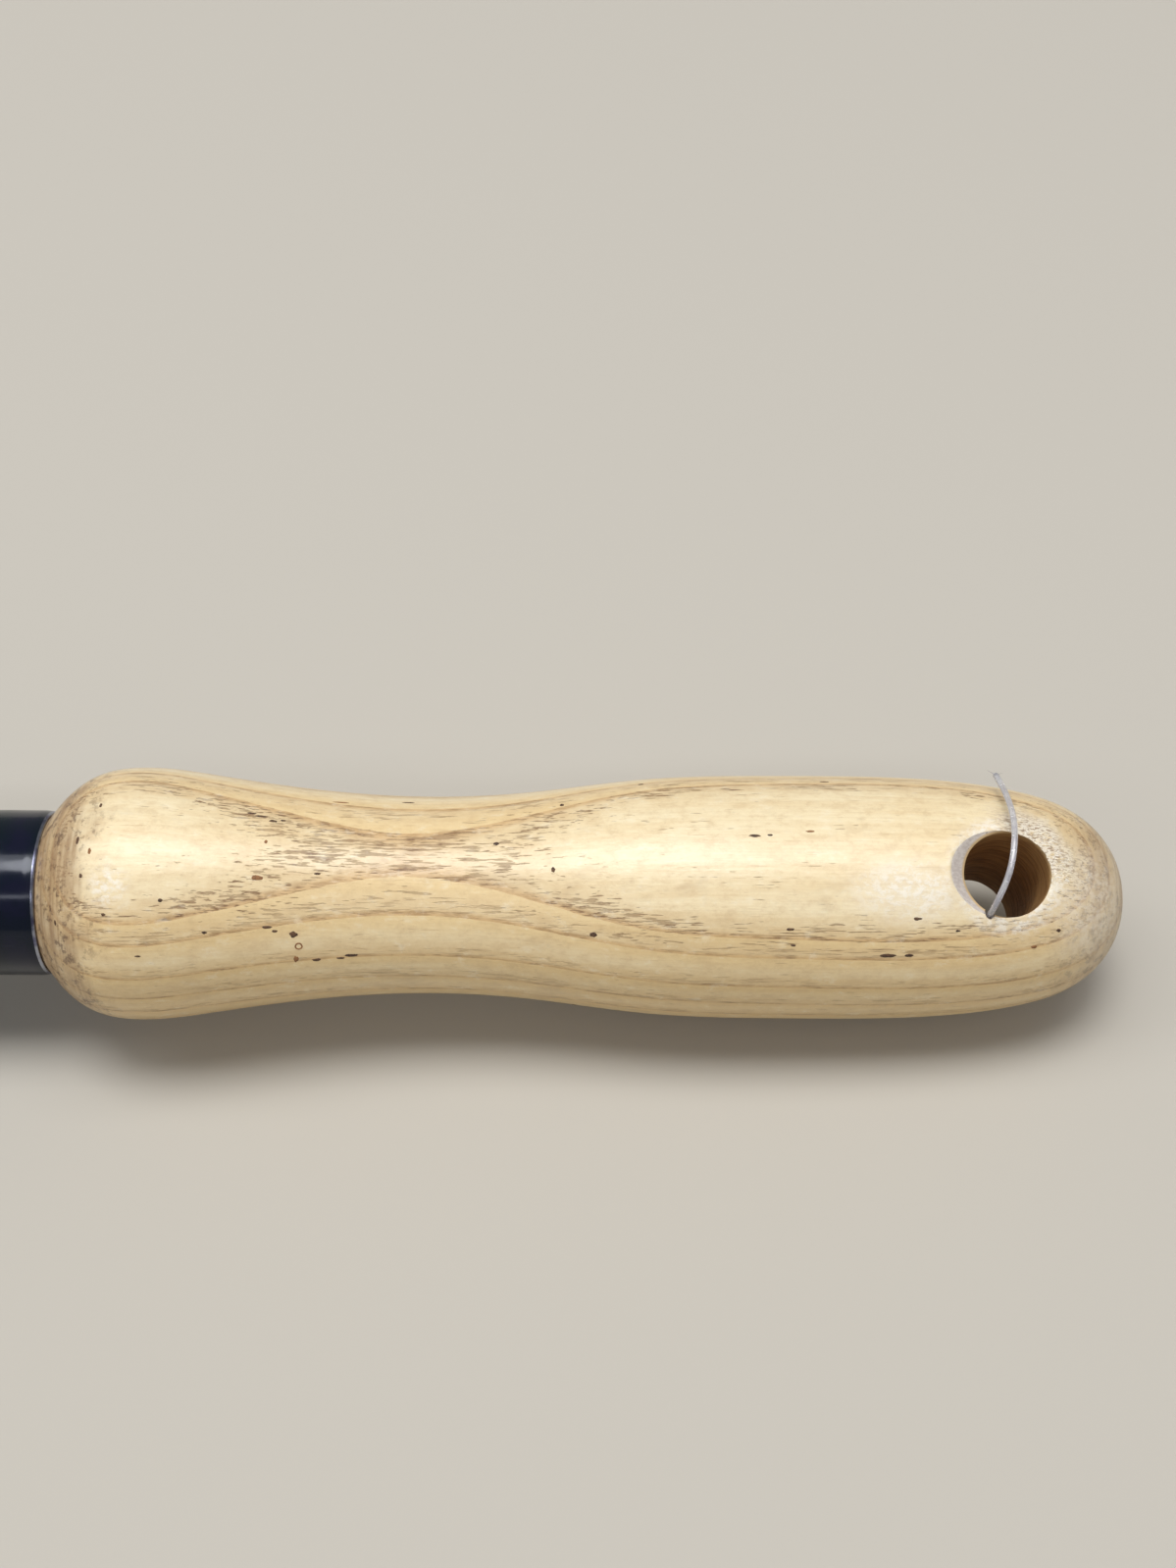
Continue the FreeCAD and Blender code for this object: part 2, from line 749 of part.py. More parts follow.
def wheel_places():
    for side, side_word in ((-1, "left"), (1, "right")):
        for end, end_word in ((-1, "front"), (1, "rear")):
            yield side, end, f"{end_word}_{side_word}"


def wheel_axles():
    parts = []
    outer = number("frame_inner_face") + number("frame_sheet")
    for side, end, word in wheel_places():
        outward = Y_AXIS * side
        at = (end * WHEEL_X, side * AXLE_END, AXLE_HEIGHT)
        pin = cylinder(f"axle_{word}", sizes.axle_radius, outer - AXLE_END, at, outward)
        head_at = (end * WHEEL_X, side * outer, AXLE_HEIGHT)
        head = dome(f"axle_head_{word}", 5.0, 1.8, head_at, outward)
        parts.append(fuse(f"axle_whole_{word}", pin, head))
    return group("axles", *parts)


def axle_clips():
    parts = []
    for side, end, word in wheel_places():
        at = (end * WHEEL_X, side * 119.8, AXLE_HEIGHT)
        ring = cylinder(f"clip_ring_{word}", 5.0, 0.8, at, Y_AXIS * side)
        bore = cylinder(f"clip_bore_{word}", sizes.axle_radius, 0.8, at, Y_AXIS * side)
        parts.append(cut(f"clip_{word}", ring, bore))
    return group("clips", *parts)


def wheel_disc(name):
    bore = sizes.axle_radius + sizes.running_gap
    rim, hub = sizes.rim_radius, sizes.hub_radius
    hub_half, web_half, rim_half = 8.0, 1.2, 6.0
    half = [
        (hub_half, bore), (hub_half, hub), (web_half, hub + 1.5), (web_half, rim - 3), (rim_half, rim - 2),
    ]
    corners = half + [(rim_half, rim), (-rim_half, rim)] + [(-x, r) for x, r in reversed(half)]
    return turned(name, corners)


def tyre(name):
    rim, tread = sizes.rim_radius, sizes.wheel_radius
    half = number("tyre_width") / 2
    corners = [
        (-half, rim), (-half, tread - 2.5), (-half + 2.0, tread - 0.3),
        (half - 2.0, tread - 0.3), (half, tread - 2.5), (half, rim),
    ]
    crown = dome_radius(half - 2.0, 0.3)
    return turned(name, corners, {2: ((0, tread.value), crown)})


mirrored_pair("wheel_spring", wheel_spring)
node("wheel_axles", wheel_axles())
node("axle_clips", axle_clips())
node("strip_rivets", strip_rivets())
for side, end, word in wheel_places():
    spot = Placement(Vector(end * WHEEL_X, side * number("wheel_centre_y"), AXLE_HEIGHT), Rotation())
    node(f"wheel_{word}", wheel_disc(f"disc_{word}"), HEAD.multiply(spot))
    node(f"tyre_{word}", tyre(f"ring_{word}"), HEAD.multiply(spot))


# ---------------------------------------------------------------------------------------------------------
# Brush roll
# ---------------------------------------------------------------------------------------------------------
BRUSH = HEAD.multiply(Placement(Vector(0, 0, number("brush_height")), Rotation()))
BEARING_FLANGE, BEARING_FLANGE_SHEET = 9.5, 1.2


def brush_core():
    core = sizes.core_half_length
    wood = cylinder("core_round", sizes.core_radius, core * 2, (0, -core.value, 0), Y_AXIS)
    bore = cylinder("core_bore", sizes.spindle_radius, core * 2, (0, -core.value, 0), Y_AXIS)
    return cut("core", wood, bore)


def brush_spindle():
    half = number("frame_inner_face") + number("frame_sheet") + 2.5
    return cylinder("spindle", sizes.spindle_radius, 2 * half, (0, -half, 0), Y_AXIS)


def brush_bearing(name, side):
    inner, outer = number("frame_inner_face"), number("frame_inner_face") + number("frame_sheet") + 1.0
    bore = number("spindle_radius") + number("running_gap")
    flange_face = inner - BEARING_FLANGE_SHEET
    barrel = number("bearing_radius")
    corners = [
        (flange_face, bore), (flange_face, BEARING_FLANGE), (inner, BEARING_FLANGE),
        (inner, barrel), (outer, barrel), (outer, bore),
    ]
    bush = turned(name + "_turning", corners)
    facing = Rotation(X_AXIS, Y_AXIS) if side > 0 else Rotation(X_AXIS, -Y_AXIS)
    bush.Placement = Placement(Vector(0, 0, number("brush_height")), facing)
    return bush


def drive_drum(name, side):
    """The drum that the tyres turn: a stepped disc with raised flanges, pressed on the spindle."""
    inner, outer = number("drum_inner_face"), number("drum_outer_face")
    drum, bore, boss = number("drum_radius"), number("spindle_radius"), 9.0
    corners = [
        (number("core_half_length"), bore), (number("core_half_length"), boss), (inner, boss),
        (inner, drum), (outer, drum), (outer, drum - 3), (outer - 2, drum - 4), (outer - 2, bore),
    ]
    drum_body = turned(name + "_turning", corners)
    facing = Rotation(X_AXIS, Y_AXIS) if side > 0 else Rotation(X_AXIS, -Y_AXIS)
    drum_body.Placement = Placement(Vector(), facing)
    return drum_body


def bristle_row(start_angle):
    """One helical row of bristles, lofted through sections turned a little further at each station."""
    half_width, half_length = number("bristle_row_width") / 2, number("bristle_half_length")
    core, tip = number("core_radius"), number("brush_radius")
    stations = 9
    sections = []
    for i in range(stations):
        share = i / (stations - 1)
        turn = Rotation(Y_AXIS, start_angle + number("bristle_twist") * share)
        y = -half_length + 2 * half_length * share
        flat = [(-half_width, core - 2), (half_width, core - 2), (half_width, tip), (-half_width, tip)]
        points = [turn.multVec(Vector(a, y, b)) for a, b in flat]
        sections.append(Part.makePolygon(points + points[:1]))
    row = Part.makeLoft(sections, True, False)
    bar = Part.makeCylinder(core, 2 * half_length + 2, Vector(0, -half_length - 1, 0), Y_AXIS)
    return row.cut(bar)


def bristle_rows():
    count = int(number("bristle_rows"))
    return shaped("rows", Part.makeCompound([bristle_row(360 / count * i) for i in range(count)]))


mirrored_pair("brush_bearing", brush_bearing)
node("brush_core", brush_core(), BRUSH)
node("brush_spindle", brush_spindle(), BRUSH)
node("bristle_rows", bristle_rows(), BRUSH)
for word, side in (("left", -1), ("right", 1)):
    node(f"drive_drum_{word}", drive_drum(f"drum_{word}", side), BRUSH)


# ---------------------------------------------------------------------------------------------------------
# Dust pans, their rods and springs
# ---------------------------------------------------------------------------------------------------------
PAN_ENDS = (("front", -1), ("rear", 1))
CRANK_PIN_END = 130.0


def crank_pin_place():
    """Where the pan's crank pin is, beside the pan's rod, with the pan closed."""
    swing = math.radians(number("crank_half_swing"))
    arm = number("crank_arm")
    x = number("pan_pivot_x") - arm * math.cos(swing)
    return x, number("pan_pivot_height") + arm * math.sin(swing)


def pan_form(name, inset, top):
    """The pan's solid form: floor, outer wall and the lip round the brush, all moved in by the inset."""
    body = new_body(name)
    floor, outer = sizes.pan_floor + inset, sizes.pan_outer_x - inset
    lip = sizes.pan_lip_radius + inset

    def lip_at(height):
        drop = sizes.brush_height - height
        return (lip * lip - drop * drop).root()

    root, middle = lip_at(floor), lip_at(as_size(26.0))
    corners = [(root, floor), (outer, floor), (outer, top), (lip_at(top), top)]
    profile = outline(sketch_on(body, "XZ_Plane", name + "_profile"), corners, {3: ((middle, 26.0), lip)})
    block = pad(body, profile, (sizes.pan_half_width - inset) * 2)
    body_fillet(
        body, block, 5.0 - as_size(inset).value,
        lambda b: b.XLength < 1e-6 and b.ZMax < floor.value + 0.01 and b.XMin > outer.value - 1,
    )
    return body


def pan_tray(name):
    outside = pan_form(name + "_outside", Size(0.0), sizes.pan_top)
    inside = pan_form(name + "_inside", sizes.pan_sheet, sizes.pan_top + 0.5)
    return cut(name + "_tray", outside, inside)


def dust_pan(name, end):
    half = number("pan_half_width")
    pin_x, pin_z = crank_pin_place()
    pivot = (number("pan_pivot_x"), -half - 5, number("pan_pivot_height"))
    rod_clearance = cylinder(name + "_rod_hole", sizes.pan_rod_radius + 0.1, 2 * half + 10, pivot, Y_AXIS)
    tray = cut(name + "_pierced", pan_tray(name), rod_clearance)
    wall = half - number("pan_sheet") / 2
    pins = [
        cylinder(
            f"{name}_crank_{side + 1}", sizes.crank_pin_radius, CRANK_PIN_END - wall,
            (pin_x, side * wall, pin_z), Y_AXIS * side,
        )
        for side in (-1, 1)
    ]
    pan = fuse(name + "_whole", tray, *pins)
    pan.Placement = Placement(Vector(), Rotation(Z_AXIS, 0 if end > 0 else 180))
    return pan


def pan_rod(name, end):
    half = number("frame_inner_face") + number("frame_sheet")
    at = (end * number("pan_pivot_x"), -half, number("pan_pivot_height"))
    return cylinder(name + "_bar", sizes.pan_rod_radius, 2 * half, at, Y_AXIS)


def coil(radius, wire, length, turns):
    """A helical spring about the Z axis, starting at Z = 0."""
    spine = Part.makeHelix(length / turns, length, radius)
    ring = Part.Wire(Part.makeCircle(wire, Vector(radius, 0, 0), Y_AXIS))
    return Part.Wire(spine).makePipeShell([ring], True, True)


def bent_leg(points, wire):
    """Straight lengths of wire from point to point, with a small knuckle at each bend and at the start."""
    pieces = [Part.makeSphere(1.1 * wire, point) for point in points[:-1]]
    for here, there in zip(points, points[1:]):
        pieces.append(Part.makeCylinder(wire, (there - here).Length, here, there - here))
    return pieces


def pan_spring(name, end):
    """Torsion spring round the pan's rod: one leg is under the crank pin and the other hooks in the frame."""
    wire, mean = 0.5, 3.4
    start_y, end_y = 131.0, 139.5
    pin_x, pin_z = crank_pin_place()
    pivot_x, pivot_z = number("pan_pivot_x"), number("pan_pivot_height")
    turns = coil(mean, wire, end_y - start_y, 6.0)
    facing = Rotation(Z_AXIS, Y_AXIS).multiply(Rotation(Z_AXIS, 180))
    turns.Placement = Placement(Vector(pivot_x, start_y, pivot_z), facing)
    side_x = pivot_x - mean
    leg_y, leg_z = start_y - 2.2, pin_z - number("crank_pin_radius") - wire - 0.1
    pin_leg = [
        Vector(side_x, start_y, pivot_z), Vector(side_x, leg_y, leg_z), Vector(pin_x - 2, leg_y, leg_z),
    ]
    frame_leg = [
        Vector(side_x, end_y, pivot_z), Vector(side_x, end_y, SPRING_HOOK_Z),
        Vector(side_x, end_y + 2.6, SPRING_HOOK_Z),
    ]
    feature = shaped(name + "_wire", turns.fuse(bent_leg(pin_leg, wire) + bent_leg(frame_leg, wire)))
    feature.Placement = Placement(Vector(), Rotation(Z_AXIS, 0 if end > 0 else 180))
    return feature


for word, end in PAN_ENDS:
    node(f"pan_{word}", dust_pan(f"pan_{word}_tray", end))
    node(f"pan_rod_{word}", pan_rod(f"rod_{word}", end))
    node(f"pan_spring_{word}", pan_spring(f"torsion_{word}", end))


# ---------------------------------------------------------------------------------------------------------
# Dump button and the yoke that it pushes down on the pans' crank pins
# ---------------------------------------------------------------------------------------------------------
LEG_HALF_WIDTH, LEG_GAP = 4.0, 0.5
BUTTON_SCREW_Y, BUTTON_SCREW_RADIUS, BUTTON_SCREW_REACH = (-26.0, 26.0), 1.5, 12.0


def dump_button():
    low, top = number("strap_top"), number("button_top")
    block = button_slot("button_block", 0, low, sizes.button_top - low)
    soft = rounded("button_soft", block, 3.0, lambda b: b.ZMin > top - 0.01)
    strap_low = low - number("strap_thickness")
    bores = [
        cylinder(f"button_bore_{int(y)}", BUTTON_SCREW_RADIUS, BUTTON_SCREW_REACH + 0.7, (0, y, strap_low))
        for y in BUTTON_SCREW_Y
    ]
    return cut("button", soft, *bores)


def dump_yoke():
    top, thick = number("strap_top"), number("strap_thickness")
    half_length, half_width = 138.5, 5.0
    corner = (-half_width, -half_length, top - thick)
    strap = box("yoke_strap", 2 * half_width, 2 * half_length, thick, corner)
    leg, foot = number("leg_centre_x"), crank_pin_place()[1] + number("crank_pin_radius") + LEG_GAP
    outer, inner = leg + LEG_HALF_WIDTH, leg - LEG_HALF_WIDTH
    half = [(inner, foot), (outer, foot), (outer, 76), (60, top - thick)]
    corners = half + [(-x, z) for x, z in reversed(half)] + [(-inner, 70), (inner, 70)]
    plates = []
    for side in (-1, 1):
        body = new_body(f"yoke_plate_{side + 1}")
        pad(body, outline(sketch_on(body, "XZ_Plane", f"yoke_profile_{side + 1}"), corners), sizes.yoke_sheet)
        middle = number("yoke_plate_inner") + number("yoke_sheet") / 2
        body.Placement = Placement(Vector(0, side * middle, 0), Rotation())
        plates.append(body)
    holes = []
    for y in BUTTON_SCREW_Y:
        holes.append(cylinder(f"yoke_screw_{int(y)}", BUTTON_SCREW_RADIUS, 10, (0, y, top - 5)))
        holes.append(cylinder(f"yoke_recess_{int(y)}", 3.0, 1.4, (0, y, top - thick)))
    return cut("yoke", fuse("yoke_formed", strap, *plates), *holes)


def button_screws():
    """Two flat-headed screws from under the strap into the button, with their heads sunk in the strap."""
    low = number("strap_top") - number("strap_thickness")
    parts = []
    for y in BUTTON_SCREW_Y:
        shank = cylinder(f"button_screw_{int(y)}", BUTTON_SCREW_RADIUS, BUTTON_SCREW_REACH, (0, y, low + 0.2))
        head = cylinder(f"button_screw_head_{int(y)}", 2.9, 1.2, (0, y, low + 0.2))
        slot = box(f"button_screw_slot_{int(y)}", 8, 0.8, 0.7, (-4, y - 0.4, low + 0.1))
        blank = fuse(f"button_screw_blank_{int(y)}", shank, head)
        parts.append(cut(f"button_screw_whole_{int(y)}", blank, slot))
    return group("button_screw_set", *parts)


def return_springs():
    low, high = number("shelf_height"), number("strap_top") - number("strap_thickness")
    wire = 0.55
    parts = []
    for side in (-1, 1):
        spring = coil(4.4, wire, high - low - 2 * wire, 6.0)
        spring.translate(Vector(0, side * number("shelf_centre_y"), low + wire))
        parts.append(spring)
    return shaped("return_coils", Part.makeCompound(parts))


node("dump_button", dump_button())
node("dump_yoke", dump_yoke())
node("button_screws", button_screws())
node("return_springs", return_springs())


# ---------------------------------------------------------------------------------------------------------
# Bail and socket, drawn in the handle's own frame: u along X, the pivot at the origin
# ---------------------------------------------------------------------------------------------------------
def bail_wire():
    half, reach, bend = sizes.bail_half_width, sizes.bail_reach, sizes.bail_bend_radius
    spine = doc.addObject("Sketcher::SketchObject", "bail_spine")
    h, r, b = half.value, reach.value, bend.value
    diagonal = b * (1 - math.sqrt(0.5))
    points = [(0, -h), (r - b, -h), (r, -h + b), (r, h - b), (r - b, h), (0, h)]
    lines = {1: (r - diagonal, -h + diagonal), 3: (r - diagonal, h - diagonal)}
    for i, (here, there) in enumerate(zip(points, points[1:])):
        start, end = Vector(*here, 0), Vector(*there, 0)
        middle = lines.get(i)
        piece = Part.Arc(start, Vector(*middle, 0), end) if middle else Part.LineSegment(start, end)
        spine.addGeometry(piece, False)
    section = doc.addObject("Part::Circle", "bail_section")
    bind(section, Radius=sizes.bail_wire_radius)
    section.Placement = Placement(Vector(0, -h, 0), Rotation(Z_AXIS, X_AXIS))
    doc.recompute()
    sweep = doc.addObject("Part::Sweep", "bail_rod")
    sweep.Sections = [section]
    sweep.Spine = (spine, [f"Edge{i + 1}" for i in range(len(spine.Shape.Edges))])
    sweep.Solid = True
    return sweep


def bail():
    half, thick = number("bail_half_width"), number("eye_thickness")
    eyes = [
        cylinder(f"bail_eye_{side + 1}", sizes.eye_radius, thick, (0, side * half - thick / 2, 0), Y_AXIS)
        for side in (-1, 1)
    ]
    shape = fuse("bail_blank", bail_wire(), *eyes)
    bore = cylinder(
        "bail_bore", sizes.pivot_radius + sizes.running_gap, 2 * half + 20, (0, -half - 10, 0), Y_AXIS
    )
    # The rod ends stand proud of the flat eyes, so both faces are trimmed flush round the pivot.
    trims = []
    for side in (-1, 1):
        for face in (-1, 1):
            y = side * half + face * (thick / 2 + 5)
            trims.append(cylinder(f"bail_trim_{side}_{face}", 11.5, 10, (0, y - 5, 0), Y_AXIS))
    return cut("bail_formed", shape, bore, *trims)


SOCKET_START, SOCKET_END = 147.0, 236.0
SOCKET_SCREW_U = 206.0
SCREW_RADIUS = 2.0


def handle_socket():
    mouth_radius, root_radius = 11.4, 13.0
    length, start = SOCKET_END - SOCKET_START, (SOCKET_START, 0, 0)
    body = cone("socket_body", root_radius, mouth_radius, length, start, X_AXIS)
    bead = doc.addObject("Part::Torus", "socket_bead")
    bead.Radius1, bead.Radius2 = mouth_radius, 1.4
    bead.Placement = along(X_AXIS, (SOCKET_END - 1.6, 0, 0))
    tube_start = number("lower_tube_start")
    bore = cylinder("socket_bore", sizes.tube_radius, SOCKET_END - tube_start + 5, (tube_start, 0, 0), X_AXIS)
    bar = cylinder("socket_bar", sizes.bail_wire_radius, 60, (number("bail_reach"), -30, 0), Y_AXIS)
    screw_hole = cylinder("socket_screw_hole", SCREW_RADIUS, 30, (SOCKET_SCREW_U, 0, 0))
    return cut("socket", fuse("socket_blank", body, bead), bore, bar, screw_hole)


def socket_screw():
    seat = 12.2
    inner = number("tube_radius") - number("tube_wall") - 1.5
    shank = cylinder("screw_shank", SCREW_RADIUS, seat - inner, (SOCKET_SCREW_U, 0, inner))
    head = dome("screw_head", 4.2, 2.4, (SOCKET_SCREW_U, 0, seat), Z_AXIS)
    slot = box("screw_slot", 10, 0.9, 2, (SOCKET_SCREW_U - 5, -0.45, seat + 1.3))
    return cut("screw", fuse("screw_blank", shank, head), slot)


def tube(name, start, end):
    outer = cylinder(name + "_outer", sizes.tube_radius, end - start, (start.value, 0, 0), X_AXIS)
    inner = cylinder(
        name + "_inner", sizes.tube_radius - sizes.tube_wall, end - start, (start.value, 0, 0), X_AXIS
    )
    return cut(name, outer, inner)


def coupling(name, start):
    """Plug that joins two tubes, with a collar between their ends."""
    plug = sizes.tube_radius - sizes.tube_wall - sizes.plug_clearance
    reach, collar = number("plug_reach"), number("coupling_collar")
    rod = cylinder(name + "_plug", plug, 2 * reach + collar, (start.value - reach, 0, 0), X_AXIS)
    place = (start.value, 0, 0)
    ring = cylinder(name + "_collar", sizes.tube_radius + 1.1, sizes.coupling_collar, place, X_AXIS)
    soft = rounded(name + "_ring", ring, 0.8, lambda b: b.XLength < 1e-6)
    return fuse(name, rod, soft)


node("bail", bail(), HANDLE)
node("handle_socket", handle_socket(), HANDLE)
node("socket_screw", socket_screw(), HANDLE)

lower_bare = tube("lower", sizes.lower_tube_start, sizes.lower_tube_end)
lower_hole = cylinder("lower_screw_hole", SCREW_RADIUS, 30, (SOCKET_SCREW_U, 0, 0))
node("lower_tube", cut("lower_drilled", lower_bare, lower_hole), HANDLE)
node("tube_coupling_lower", coupling("coupling_low", sizes.lower_tube_end), HANDLE)
middle_start = sizes.lower_tube_end + sizes.coupling_collar
node("middle_tube", tube("middle", middle_start, sizes.middle_tube_end), HANDLE)
node("tube_coupling_upper", coupling("coupling_high", sizes.middle_tube_end), HANDLE)

BRAD_SETBACK, BRAD_RADIUS = 16.0, 0.9
brad_u = number("upper_tube_end") - BRAD_SETBACK
upper_start = sizes.middle_tube_end + sizes.coupling_collar
upper_bare = tube("upper", upper_start, sizes.upper_tube_end)
upper_hole = cylinder("upper_brad_hole", BRAD_RADIUS, 30, (brad_u, 0, 0))
node("upper_tube", cut("upper_drilled", upper_bare, upper_hole), HANDLE)


# ---------------------------------------------------------------------------------------------------------
# Turned wooden grip: a tenon in the tube, a bulb, a waist and a belly with a hanging hole near the end
# ---------------------------------------------------------------------------------------------------------
# Station from the tube's rim and radius there, one pair for each bend of the profile.
GRIP_PROFILE = [
    (0.0, 9.0), (2.0, 11.35), (5.2, 13.6), (10.0, 14.5), (18.5, 13.68), (30.5, 12.05), (43.5, 11.33),
    (54.5, 11.88), (67.5, 13.43), (84.0, 13.98), (99.5, 13.73), (110.5, 12.42), (117.5, 9.88), (121.3, 6.0),
    (122.55, 2.7),
]
TENON_CLEARANCE = 0.03


def grip_turning():
    rim, tip = number("upper_tube_end"), number("grip_length")
    tenon = number("tube_radius") - number("tube_wall") - TENON_CLEARANCE
    outer = [Vector(rim + x, r, 0) for x, r in GRIP_PROFILE] + [Vector(rim + tip, 0, 0)]
    curve = Part.BSplineCurve()
    curve.interpolate(Points=outer)
    tenon_start = rim - number("tenon_length")
    foot = [
        Vector(rim + tip, 0, 0), Vector(tenon_start, 0, 0), Vector(tenon_start, tenon - 1.5, 0),
        Vector(tenon_start + 1.5, tenon, 0), Vector(rim, tenon, 0), outer[0],
    ]
    edges = [curve.toShape()] + [Part.makeLine(a, b) for a, b in zip(foot, foot[1:])]
    return shaped("grip_half_section", Part.Face(Part.Wire(Part.__sortEdges__(edges))))


# The lower end of the groove that the filament has chafed in the hole's wall, in the hole's own frame
CHAFE_FOOT = (-2.15, -4.53, -5.0)


def grip():
    turning = doc.addObject("Part::Revolution", "grip_turned")
    turning.Source = grip_turning()
    turning.Axis, turning.Base, turning.Angle, turning.Solid = X_AXIS, Vector(), 360, True
    station = number("upper_tube_end") + number("hang_hole_station")
    across = Rotation(X_AXIS, number("hang_hole_turn")).multVec(Z_AXIS)
    centre = Vector(station, 0, 0)
    hole = cylinder("hang_hole", sizes.hang_hole_radius, 40, centre - across * 20, across)
    tools = [hole]
    mouth, depth = number("countersink_height"), number("countersink_radius") - number("hang_hole_radius")
    for i, facing in enumerate((across, -across)):
        sink = cone(
            f"countersink_{i}", sizes.hang_hole_radius, sizes.countersink_radius + 2, depth + 2,
            centre + facing * (mouth - depth), facing,
        )
        tools.append(sink)
    tools.append(cylinder("grip_brad_hole", BRAD_RADIUS, 30, (brad_u, 0, 0)))
    turn = Rotation(X_AXIS, number("hang_hole_turn"))
    foot = centre + turn.multVec(Vector(*CHAFE_FOOT))
    tools.append(cylinder("chafed_groove", sizes.chafe_radius, 22, foot, across))
    return cut("grip_drilled", turning, *tools)


def grip_brad():
    """A small nail through the tube into the tenon."""
    skin = number("tube_radius")
    shank = cylinder("brad_shank", BRAD_RADIUS, skin + 0.1, (brad_u, 0, 0))
    head = dome("brad_head", 1.7, 0.8, (brad_u, 0, skin - 0.1), Z_AXIS)
    below_head = cylinder("brad_keep", 3.0, 3.0, (brad_u, 0, skin))
    tube_wall = cylinder("brad_tube", sizes.tube_radius, 10, (brad_u - 5, 0, 0), X_AXIS)
    proud = cut("brad_proud", common("brad_top", head, below_head), tube_wall)
    return fuse("brad", common("brad_stem", shank, cylinder("brad_span", 2.0, 30, (brad_u, 0, 0))), proud)


node("grip", grip(), HANDLE)
node("grip_brad", grip_brad(), HANDLE)


# ---------------------------------------------------------------------------------------------------------
# Clear tag filament lodged in a groove of the hanging hole, a cord of nylon
# ---------------------------------------------------------------------------------------------------------
# Points are (along the grip from the hole's centre, across the hole, out along the hole's axis).
FILAMENT_ROUTE = [
    (-2.2, -4.5, -4.0), (-2.1, -4.55, 9.6), (-2.15, -4.4, 14.3), (-0.2, -0.3, 15.3), (0.2, 4.7, 14.9),
    (-0.8, 9.2, 12.1), (-1.5, 12.3, 8.4),
]


def in_handle_frame(route):
    turn = Rotation(X_AXIS, number("hang_hole_turn"))
    centre = Vector(number("upper_tube_end") + number("hang_hole_station"), 0, 0)
    return [centre + turn.multVec(Vector(*point)) for point in route]


def rounded_path(points):
    """Straight runs joined by tangent arcs as large as the runs allow. Prints the arcs' radii."""
    edges, here, radii = [], points[0], []
    for before, corner, after in zip(points, points[1:], points[2:]):
        toward, away = (before - corner), (after - corner)
        setback = 0.45 * min(toward.Length, away.Length)
        turn = math.pi - toward.getAngle(away)
        start = corner + toward.normalize() * setback
        end = corner + away.normalize() * setback
        radius = setback / math.tan(turn / 2)
        radii.append(round(radius, 2))
        bisector = (toward + away).normalize()
        middle = corner + bisector * (radius / math.cos(turn / 2) - radius)
        edges.append(Part.LineSegment(here, start).toShape())
        edges.append(Part.Arc(start, middle, end).toShape())
        here = end
    edges.append(Part.LineSegment(here, points[-1]).toShape())
    print("filament arc radii", radii)
    return Part.Wire(edges)


def tag_filament():
    points = in_handle_frame(FILAMENT_ROUTE)
    path = rounded_path(points)
    ring = Part.Wire(Part.makeCircle(number("filament_radius"), points[0], points[1] - points[0]))
    thread = path.makePipeShell([ring], True, False)
    expected = math.pi * number("filament_radius") ** 2 * path.Length
    print("filament length", round(path.Length, 2), "volume share", round(thread.Volume / expected, 3))
    return shaped("filament", thread)


node("tag_filament", tag_filament(), HANDLE)


# ---------------------------------------------------------------------------------------------------------
# Check and write
# ---------------------------------------------------------------------------------------------------------
doc.recompute()
for feature in doc.Objects:
    if "Invalid" in feature.State or "Error" in feature.State:
        raise RuntimeError(f"{feature.Label} failed: {feature.State}")
for label, feature in nodes.items():
    if feature.Shape.isNull() or not feature.Shape.isValid() or not feature.Shape.Solids:
        raise RuntimeError(f"{label} has no valid solid")

os.makedirs("parts", exist_ok=True)
for label, feature in nodes.items():
    feature.Shape.exportStep(f"parts/{label}.step")
print(len(nodes), "nodes")
print("head at", round(HEAD_X, 3), "handle slope", round(HANDLE_SLOPE, 4), "wheel x", round(WHEEL_X, 4))
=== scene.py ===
import json
import math
import random

import bmesh
import bpy
import numpy as np
from mathutils import Matrix, Vector, noise


